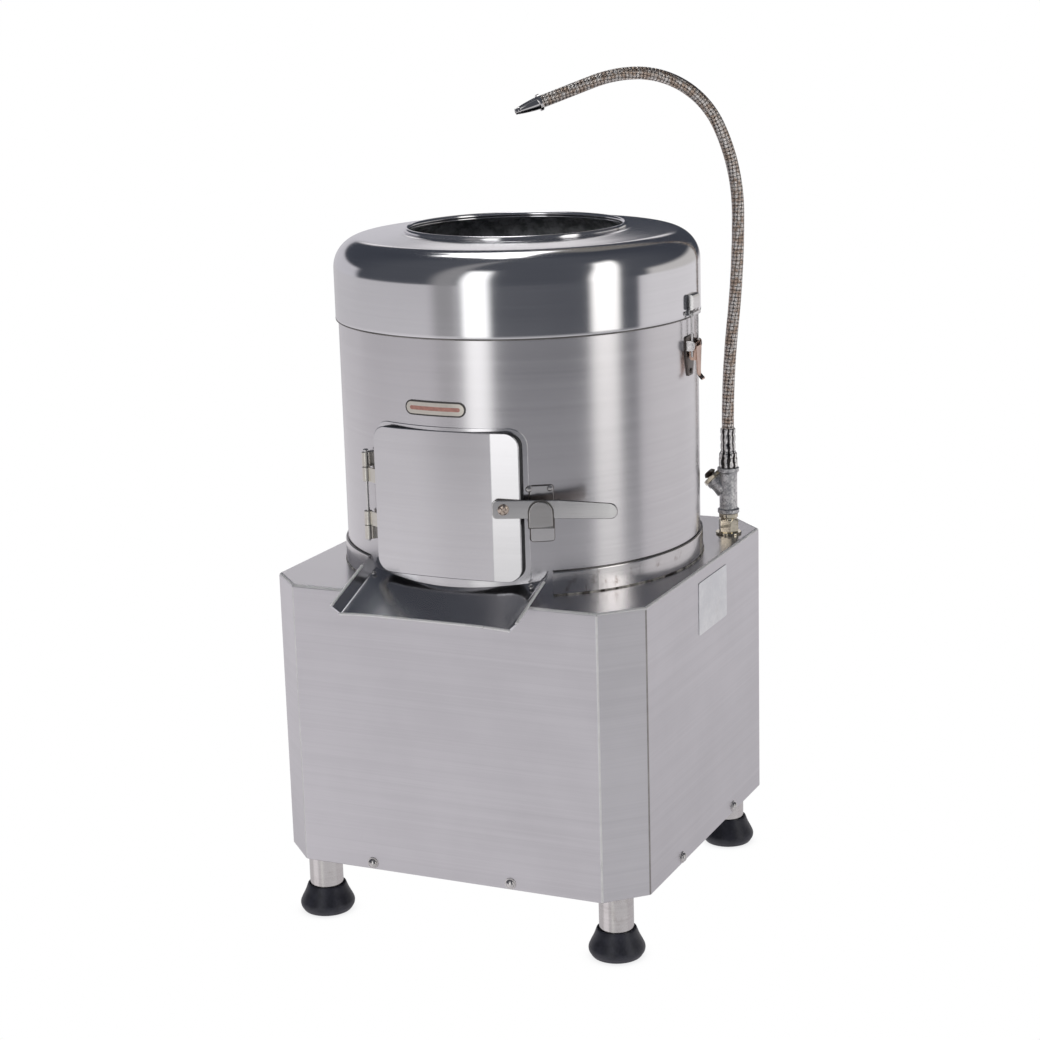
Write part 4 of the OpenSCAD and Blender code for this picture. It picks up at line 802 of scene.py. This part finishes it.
# The rolled hems are painted near-white, a painted highlight.
make("chute_hems", hems, PAINTED_HIGHLIGHT, "cabinet")
rivets = Shape()
for x in (-94, 94):
    pan_head(rivets, 6, 2.2, at_chute @ move(x, 74, 0))
make("chute_screws", rivets, BOLT_STEEL, "cabinet")

# ---- Badge: dark rim, pale field and one plain stripe ----
for label, w, h, low, high, mat, nodes in (("rim", 72, 16, 0.03, 1.15, DARK_LINE, ("name_badge",)),
                                           ("field", 69, 13, 0.4, 1.17, BADGE, ()),
                                           ("stripe", 60, 4.6, 0.5, 1.19, BADGE_RED, ())):
    badge = Shape().stack(rounded(w, h, h / 2 - 0.1), slab(DRUM_R + low, DRUM_R + high, 0.2, 2))
    make("badge_" + label, badge, mat, "cabinet", nodes, 35,
         split=range(-34, 35, 4), warp=wrapped(BADGE_TURN, BADGE_Z, 201))

# ---- Lid ----
mid_z, mid_r = CROWN_Z - SHOULDER, LID_R - SHOULDER
skirt = [(LID_R - 0.9, LID_Z), (LID_R - 0.2, LID_Z + 0.35), (LID_R, LID_Z + 1.2),
         (LID_R, LID_Z + 4), (LID_R, LID_Z + 19), (LID_R, LID_Z + 39)]
crown = [(r, CROWN_Z + up) for r, up in ((160, 0.75), (150, 1.5), (140, 2.25), (132, 2.9),
                                         (129.5, 3.3), (127.6, 3.9))]
neck = [(FEED_R + 0.3, CROWN_Z + 2), (FEED_R + 0.6, CROWN_Z + 1.2), (FEED_R + 1.6, CROWN_Z + 1.3),
        (130, CROWN_Z + 1.2), (150, CROWN_Z), (mid_r, CROWN_Z - LID_SHEET)]
lid = Shape().lathe(skirt + arc(mid_r, mid_z, SHOULDER, 0, 90, 30) + crown
                    + arc(FEED_R + BEAD, LID_TOP - BEAD, BEAD, -20, 215, 16) + neck
                    + arc(mid_r, mid_z, SHOULDER - LID_SHEET, 0, 90, 20)[::-1]
                    + [(LID_R - LID_SHEET, LID_Z + 0.4), skirt[0]], 360)
lid.lathe([(202, 691.3), (196.5, 691.3), (196.5, 693.3), (202, 693.3), (202, 691.3)], 180)
lid = make("lid_dome", lid, [LID_STEEL, LINING], "lid", ("lid_shell",), 40)


def inner_face(face):
    inwards = face.normal.xy.dot(face.center.xy) < 0
    return ((LID_Z + 1) * MM < face.center.z < (CROWN_Z + 0.6) * MM and face.normal.z < 0.3
            and (inwards or face.normal.z < -0.5))


second_tone(lid, inner_face)
# A dark ring under the lid's skirt: a painted shade in the gap to the drum.
trim = Shape().lathe([(LID_R + n, LID_Z + z) for n, z in (
    (-1.5, 0), (-1.3, -1.0), (-0.6, -1.4), (0, -1.0), (0.2, 0), (-0.3, 0.6), (-1.5, 0))], 240)
make("skirt_shade_ring", trim, SEAM_SHADE, "lid")

# ---- Toggle clamps ----
def toggle_plate(inset):
    a, b = 13.4 - inset, 7.5 - inset
    return fillet([(a, -2), (a, 22 - inset), (-a, 22 - inset), (-a, -2),
                   (-b, -22 + inset), (b, -22 + inset)], 2, 4)


def across(shape, line, xs, m):
    """A side view of height and depth, drawn out across the piece."""
    shape.loft([[(x, z, n) for z, n in line] for x in xs], m=m)


HOOK = [(672.6, 0.02), (672.3, 3.0), (672.3, 5.0), (673, 6.4), (674.6, 7.0), (676.6, 6.9),
        (676.4, 5.7), (674.9, 5.6), (674.1, 4.6), (674.1, 3.2), (675.4, 1.9), (691, 1.5),
        (692, 0.9), (692, 0.02)]
HOOD = [(679, 0.02), (679, 4.8), (680.2, 6.0), (692.4, 6.0), (694.6, 5.0), (695.6, 3.0),
        (695.6, 0.02)]
LEVER = [(-1, 3.4), (-1, 4.9), (-28, 4.9), (-32, 5.1), (-35, 6.0), (-37, 7.8), (-38, 9.4),
         (-36.6, 9.4), (-35.6, 7.8), (-33.6, 5.0), (-31, 3.7), (-28, 3.4)]
CHEEK = [(-16, -3.5), (3.8, -3.5), (3.8, 3.8), (-1, 3.8), (-16, 3.8)]
for side, turn in (("right", 2), ("left", 182)):
    front, at_toggle = facing(turn, 0), facing(turn, TOGGLE_Z)
    catch = Shape()
    across(catch, [(z, LID_R + n) for z, n in HOOK], (-11, -10.6, 10.6, 11), front)
    across(catch, [(z, LID_R + n) for z, n in HOOD], (-11, -10.4, 10.4, 11), front)
    make(side + "_catch", catch, BAR_STEEL, "lid", ("toggle_catches",), 35)
    base = Shape()
    ear = fillet([(-5.5, DRUM_R + 0.5), (5.5, DRUM_R + 0.5), (5.5, 211), (-5.5, 211)],
                 [0.4, 0.4, 4, 4])
    for x in (-12.9, 11.4):
        across(base, ear, (x, x + 1.5), at_toggle)
    base.lathe([(0, -13.5), (2.4, -13.5), (2.6, -13.1), (2.6, -12.6), (1.5, -12.6), (1.5, 12.6),
                (2.6, 12.6), (2.6, 13.1), (2.4, 13.5), (0, 13.5)], 20,
               at_toggle @ move(0, 0, TOGGLE_N) @ turned(90, "Y"))
    make(side + "_ears", base, FITTING_STEEL, "cabinet", ("toggle_bases",), 35)
    # The base plate narrows downwards and is near-black: a painted shadow of the lever.
    flat = Shape().stack(toggle_plate, slab(DRUM_R + 0.05, DRUM_R + 1.8, 0.4))
    for y in (-17, 5):
        pan_head(flat, 6, 1.6, move(0, y, DRUM_R + 1.7))
    make(side + "_base", flat, SHADOWED_PLATE, "cabinet", (), 35,
         split=range(-14, 15, 4), warp=wrapped(turn, TOGGLE_Z - 12, 201))
    lever = Shape()
    lever.loft([[(x if y > -20 else x * 0.6, y, TOGGLE_N + n) for y, n in LEVER]
                for x in (-8.6, -8.2, 8.2, 8.6)], m=at_toggle)
    cheek = fillet([(y, TOGGLE_N + n) for y, n in CHEEK], [3, 3.4, 3.4, 0.4, 0.4])
    for x in (-8.6, 7.1):
        across(lever, cheek, (x, x + 1.5), at_toggle)
    make(side + "_lever_bent", lever, WORN_LEVER, side + "_lever",
         (side + "_toggle_lever",), 35)
    wire = ([(7.6, 628), (8.6, 628)] + arc(8.6, 629.5, 1.5, -90, 0, 4) + [(10.1, 640), (10.1, 660)]
            + arc(8.3, 674.2, 1.8, 0, 90, 5) + [(0, 676)])
    path = [(x, z, TOGGLE_N) for x, z in wire] + [(-x, z, TOGGLE_N) for x, z in wire[-2::-1]]
    make(side + "_loop_wire", Shape().pipe(path, 1.25, 14, front), FITTING_STEEL, side + "_loop",
         (side + "_toggle_loop",), 50)

# ---- Water spray ----
spray = move(SPRAY_X, SPRAY_Y)
nipple = Shape()
nipple.lathe([(5, 350), (7.4, 350), (8, 351), (8, 384)], 40, spray)
nipple.nut(12, 385, 393, spray)
nipple.lathe([(8, 393), (8, 395.1), (14.4, 395.1), (15, 395.6), (15, 396.9), (14.4, 397.5),
              (8, 397.5)], 48, spray)
nipple.nut(12, 397.5, 412.5, spray)
nipple.lathe([(8, 412), (9.2, 412.2), (9.2, 414), (11, 415.2), (11, 419.4), (10.4, 420),
              (8, 420)], 48, spray)
make("brass_nipple", nipple, BRASS, "cabinet", ("water_nipple",), 35)

valve = Shape()
valve.lathe([(8, 420), (11.9, 420), (12.5, 420.6), (12.5, 424.2), (11.8, 425), (10.6, 425.8),
             (10.3, 427), (10.3, 466), (10.7, 467.6), (11.9, 468.8), (12.5, 469.6), (12.5, 473.4),
             (11.9, 474), (6, 474)], 56, spray)
branch = spray @ move(0, 0, BRANCH_Z) @ turned(-45, "Y")
valve.lathe([(0, 2), (10.8, 6), (10.5, 10), (10.2, 12), (10.2, 17.6), (11.2, 18.2),
             (11.5, 19.2), (11.5, 22.6), (10.9, 23.6), (9.6, 24), (2.3, 24)], 44, branch)
make("cast_tee", valve, CAST, "cabinet", ("valve_body",), 35)
gland = Shape().nut(13.5, 24, 28.4, branch, ends=(False, True))
gland.lathe([(2.1, 27.8), (5.2, 28), (4.9, 29), (2.1, 29.2)], 32, branch)
make("gland_nut", gland, BRASS, "cabinet", ("valve_gland",), 35)
knob = Shape()
knob.lathe([(0, 24.4), (1.9, 24.4), (1.9, 29.4), (4.9, 29.3), (5.4, 29.7), (7.2, 31.0),
            (7.5, 31.5), (7.2, 32.3), (5.6, 34.6), (4.8, 35.1), (0, 35.3)], 36, branch)
make("valve_cap", knob, plain("knob_plastic", (0.055, 0.035, 0.026), 0.35, vary=0.3),
     "knob", ("valve_knob",), 35)

low = VALVE_TOP + 0.3
collar = Shape().nut(11.5, low, low + 11, spray)
collar.lathe([(r, low + up) for r, up in (
    (7, 10.9), (9.4, 11), (10.2, 11.8), (10.3, 15.6), (9.7, 16.6), (9.0, 17.2), (8.9, 18.4),
    (8.2, 19.2), (8.2, 21), (8.6, 21.6), (8.6, 27), (8.1, 28), (8.1, 30), (8.6, 31), (8.6, 36.4),
    (8.1, 37.4), (8.1, 39.2), (8.6, 40.2))] + [(8.6, HOSE_Z - 0.9), (7.9, HOSE_Z), (7, HOSE_Z)],
             48, spray)
make("crimped_collar", collar, CRIMPED, "spray", ("hose_ferrule",), 35)

# The hose is a chain of bends, each with its radius and turn in degrees, and a straight end.
BENDS, STRAIGHT = [(1106, -6.4), (1106, 6.4), (232, 25), (107, 65), (150, 18.5)], 61
route, lean = [(0.0, 0.0)], 0.0
for radius, angle in BENDS:
    parts = max(4, ceil(radius * radians(abs(angle)) / 3))
    (x0, z0), h = route[-1], radians(lean)
    for k in range(1, parts + 1):
        a = radians(abs(angle)) * k / parts
        out, up = (radius if angle > 0 else -radius) * (1 - cos(a)), radius * sin(a)
        route.append((x0 + out * cos(h) + up * sin(h), z0 - out * sin(h) + up * cos(h)))
    lean += angle
(x0, z0), h = route[-1], radians(lean)
for k in range(1, 21):
    route.append((x0 + STRAIGHT * k / 20 * sin(h), z0 + STRAIGHT * k / 20 * cos(h)))
towards = spray @ move(0, 0, HOSE_Z) @ turned(degrees(atan2(-SPRAY_Y, -SPRAY_X)))
hose = Shape().pipe([(x, 0, z) for x, z in route], HOSE_R, 28, towards)
make("braided_hose", hose, BRAID, "spray", ("spray_hose",), 60)

tip = towards @ move(route[-1][0], 0, route[-1][1]) @ turned(lean, "Y")
nozzle = Shape()
nozzle.lathe([(0, 0.05), (8.9, 0.05), (9.4, 0.5), (9.4, 3.4), (8.9, 3.9), (7.4, 4), (7.0, 5),
              (6.8, 9), (5.6, 18), (4.4, 25), (4.1, 25.4), (4.1, 27.4), (3.5, 27.9), (3.4, 30.6),
              (3.0, 31), (1.8, 31), (1.8, 8), (0, 8)], 44, tip)
make("nozzle_cone", nozzle, POLISHED, "spray", ("spray_nozzle",), 35)

# ---- Controls on the left side ----
box = Shape().stack(rounded(62, 96, 6), slab(0, 24, 2.0, 4, (False, True)),
                    move(-HALF_W, SWITCH_Y, SWITCH_Z) @ turned(-90) @ turned(90, "X"))


def at_button(z):
    return move(-HALF_W, SWITCH_Y, z) @ turned(-90, "Y")


holes = Shape()
for z in (START_Z, STOP_Z):
    holes.lathe([(0, 10), (CAP_R + 0.3, 10), (CAP_R + 0.3, 40), (0, 40)], 48, at_button(z))
make("switch_case", box, BLACK, "cabinet", ("switch_box",), 35, cuts=holes)
FLUSH = [(CAP_R, 29.2), (10.2, 30), (8, 30), (7.4, 29.5), (0, 29.3)]
MUSHROOM = [(CAP_R, 29.4), (12.4, 30), (14.2, 32.4), (14.5, 33.2), (14.0, 34.4), (12, 36.2),
            (8, 36.9), (0, 37)]
for name, z, head, mat, slot in (("start", START_Z, FLUSH, GREEN, "green_plastic"),
                                 ("stop", STOP_Z, MUSHROOM, RED, "red_plastic")):
    button = Shape().lathe([(0, 14.4), (CAP_R, 14.4)] + head, 48, at_button(z))
    make(name + "_cap", button, mat, name, (name + "_button",), 35)

# ---- CAD nodes that keep their shape ----
KEPT = ((DARK_PAINT, "base_frame motor_tray motor_pulley disc_pulley"),
        (IRON, "motor_body terminal_box bearing_housing"),
        (FITTING_STEEL, "motor_shaft main_shaft shaft_bearings drain_pipe disc_nut"),
        (RUBBER, "drive_belt shaft_seal lid_seal"), (GRIT, "abrasive_liner abrasive_layer"),
        (BOLT_STEEL, "drive_bolts"), (CREAM, "run_capacitor"), (BLACK, "cable_gland"),
        (DRUM_STEEL, "drum_floor"), (CAST_ALU, "peeling_disc"))
for mat, name in [(mat, name) for mat, names in KEPT for name in names.split()]:
    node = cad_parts[name]
    node.data.materials.clear()
    node.data.materials.append(mat)
    weld = node.modifiers.new("weld", "WELD")
    weld.merge_threshold = 1e-5
    bevel = node.modifiers.new("edges", "BEVEL")
    bevel.width, bevel.segments = 0.0006, 2
    bevel.limit_method, bevel.angle_limit = "ANGLE", radians(35)

# ---- Floor, seen only by the camera and from above, with a faint contact shade ----
floor_mesh = bpy.data.meshes.new("floor")
corners = [(-30, -30), (30, -30), (30, 30), (-30, 30)]
floor_mesh.from_pydata([(x, y, -0.0005) for x, y in corners], [], [(0, 1, 2, 3)])
floor = add_object("floor", floor_mesh)
paper = bpy.data.materials.new("studio_floor")
paper.use_nodes = True
g = Graph(paper.node_tree)
shade = g.add("AmbientOcclusion", {"Distance": 0.035}, samples=8)
white = g.mix(g.span(shade.outputs["AO"], 0.0, 0.9), rgb(0.80, 0.80, 0.81), rgb(1, 1, 1))
seen = g.add("Emission", {"Color": white})
clear = g.add("BsdfTransparent")
above = g.math("SUBTRACT", g.add("LightPath").outputs["Is Camera Ray"],
               g.add("NewGeometry").outputs["Backfacing"])
pick = g.add("MixShader", {0: g.math("MAXIMUM", above, 0.0), 1: clear.outputs[0],
                           2: seen.outputs[0]})
g.add("OutputMaterial", {0: pick.outputs[0]})
floor_mesh.materials.append(paper)

# ---- Studio: a white surround for the camera, soft boxes, walls and floor for everything else ----
world = bpy.data.worlds.new("studio")
bpy.context.scene.world = world
world.use_nodes = True
g = Graph(world.node_tree)
way = g.add("VectorRotate", {"Vector": g.add("TexCoord").outputs["Generated"],
                             "Angle": radians(90 - CAM_AZ)}, rotation_type="Z_AXIS").outputs[0]
part = g.add("SeparateXYZ", {0: way})
side = g.times(g.math("ARCTAN2", part.outputs[1], part.outputs[0]), 180 / pi)
lift = g.times(g.math("ARCSINE", part.outputs[2]), 180 / pi)


def inside(value, a, b, soft):
    """1 between a and b, and 0 further out."""
    return all_of(rises(value, a - soft, a + soft), falls(value, b - soft, b + soft))


def rises(value, a, b):
    return g.span(value, a, b)


def falls(value, a, b):
    return g.span(value, a, b, 1.0, 0.0)


def all_of(*masks):
    out = masks[0]
    for mask in masks[1:]:
        out = g.times(out, mask)
    return out


def lamp(value, *tint):
    return rgb(*[value * c for c in tint])


FLOOR_TINT = (0.99, 0.965, 1.0)
middle = inside(side, -37, 80, 2)
floor_tone = g.mix(rises(lift, -24, -18), lamp(0.50, *FLOOR_TINT), lamp(0.68, *FLOOR_TINT))
front_left = all_of(falls(side, -57, -51.5), rises(side, -100, -90), falls(lift, -16.5, -14))
floor_tone = g.mix(front_left, floor_tone, lamp(0.80, *FLOOR_TINT))
floor_tone = g.mix(rises(lift, -12, -9), floor_tone, lamp(0.575, 0.985, 0.96, 1.0))
right_tone = g.mix(rises(lift, -23, -17), lamp(0.51, *FLOOR_TINT), lamp(0.60, *FLOOR_TINT))
right_tone = g.mix(rises(lift, -15, -9), right_tone, lamp(0.74, 0.99, 0.965, 0.99))
strip_tone = g.mix(rises(lift, -15.5, -11), lamp(0.66, 1, 1, 1), lamp(1.55, 1, 1, 1))
far = g.math("ABSOLUTE", side)
turn_back = g.math("WRAP", g.plus(side, 176.0), 180.0, -180.0)
lean = g.math("SUBTRACT", side, g.times(g.times(lift, lift), 0.0075))
sky = g.mix(rises(far, 90, 140), rgb(0.080, 0.085, 0.100), rgb(0.052, 0.057, 0.072))
for mask, tone in (
        # the walls on the left and the right, and the light that the deck shows
        (all_of(inside(side, -190, -118, 4), falls(lift, 10.5, 14)), lamp(0.62, 0.96, 0.94, 1.0)),
        (all_of(inside(side, 88, 152, 4), falls(lift, 7, 14)), lamp(0.60, 0.99, 0.96, 0.94)),
        (all_of(rises(far, 168, 172), inside(lift, 13.4, 19.5, 0.9)), lamp(1.0, 0.99, 0.96, 0.98)),
        # the floor in front and at the sides, and a dark gap beside the first strip
        (all_of(middle, falls(lift, -16, -10)), lamp(0.58, 0.98, 0.97, 1.0)),
        (all_of(g.math("SUBTRACT", 1.0, middle), falls(lift, -7, -2)),
         g.mix(rises(side, 70, 90), floor_tone, right_tone)),
        (all_of(inside(side, -54, -38, 5), rises(lift, -15, -8)), lamp(0.28, 0.98, 0.97, 1.0)),
        # a warm glow and the soft box, high up behind
        (all_of(inside(turn_back, -34, -8, 4), inside(lift, 34, 58, 4)), lamp(0.2, 1, 0.96, 0.9)),
        (g.math("MAXIMUM", all_of(inside(turn_back, -12, 12.5, 2), inside(lift, 47, 78, 3)),
                all_of(inside(turn_back, 9, 29, 3), inside(lift, 56, 80, 2.5))),
         lamp(3.2, 1, 1, 1)),
        # the two upright strips
        (all_of(inside(side, -35, -18, 3), falls(lift, 40, 50), rises(lift, -42, -38)), strip_tone),
        (all_of(inside(lean, 45, 64.5, 3), falls(lift, 44, 54), rises(lift, -14, -8)),
         lamp(1.6, 1.0, 0.985, 0.96))):
    sky = g.mix(mask, sky, tone)
light = g.add("Background", {"Color": sky})
blank = g.add("Background", {"Color": rgb(1, 1, 1)})
pick = g.add("MixShader", {0: g.add("LightPath").outputs["Is Camera Ray"],
                           1: light.outputs[0], 2: blank.outputs[0]})
g.add("OutputWorld", {0: pick.outputs[0]})

# ---- A soft fill for matt surfaces, which puts some light inside the open lid ----
fill = bpy.data.lights.new("fill", "AREA")
fill.shape, fill.size, fill.energy = "DISK", 0.5, 2.2
fill.specular_factor = 0.0
fill_at = add_object("fill", fill)
fill_at.matrix_world = move(0.25, -1.35, 1.25) @ turned(70, "X")
fill_at.visible_glossy = False

# ---- Camera ----
az, el, roll = radians(CAM_AZ), radians(CAM_EL), radians(CAM_ROLL)
back = Vector((sin(az) * cos(el), -cos(az) * cos(el), sin(el)))
right = (-back).cross(Vector((0, 0, 1))).normalized()
up = right.cross(-back).normalized()
right, up = right * cos(roll) + up * sin(roll), up * cos(roll) - right * sin(roll)
lens = bpy.data.cameras.new("view")
lens.lens, lens.sensor_width, lens.sensor_fit = 79.99, 36, "HORIZONTAL"
lens.clip_end = 100
camera = add_object("view", lens)
camera.matrix_world = Matrix(((right.x, up.x, back.x, 1.0755), (right.y, up.y, back.y, -2.3273),
                              (right.z, up.z, back.z, 1.0525), (0, 0, 0, 1)))
bpy.context.scene.camera = camera
bpy.context.scene.view_settings.view_transform = "Standard"
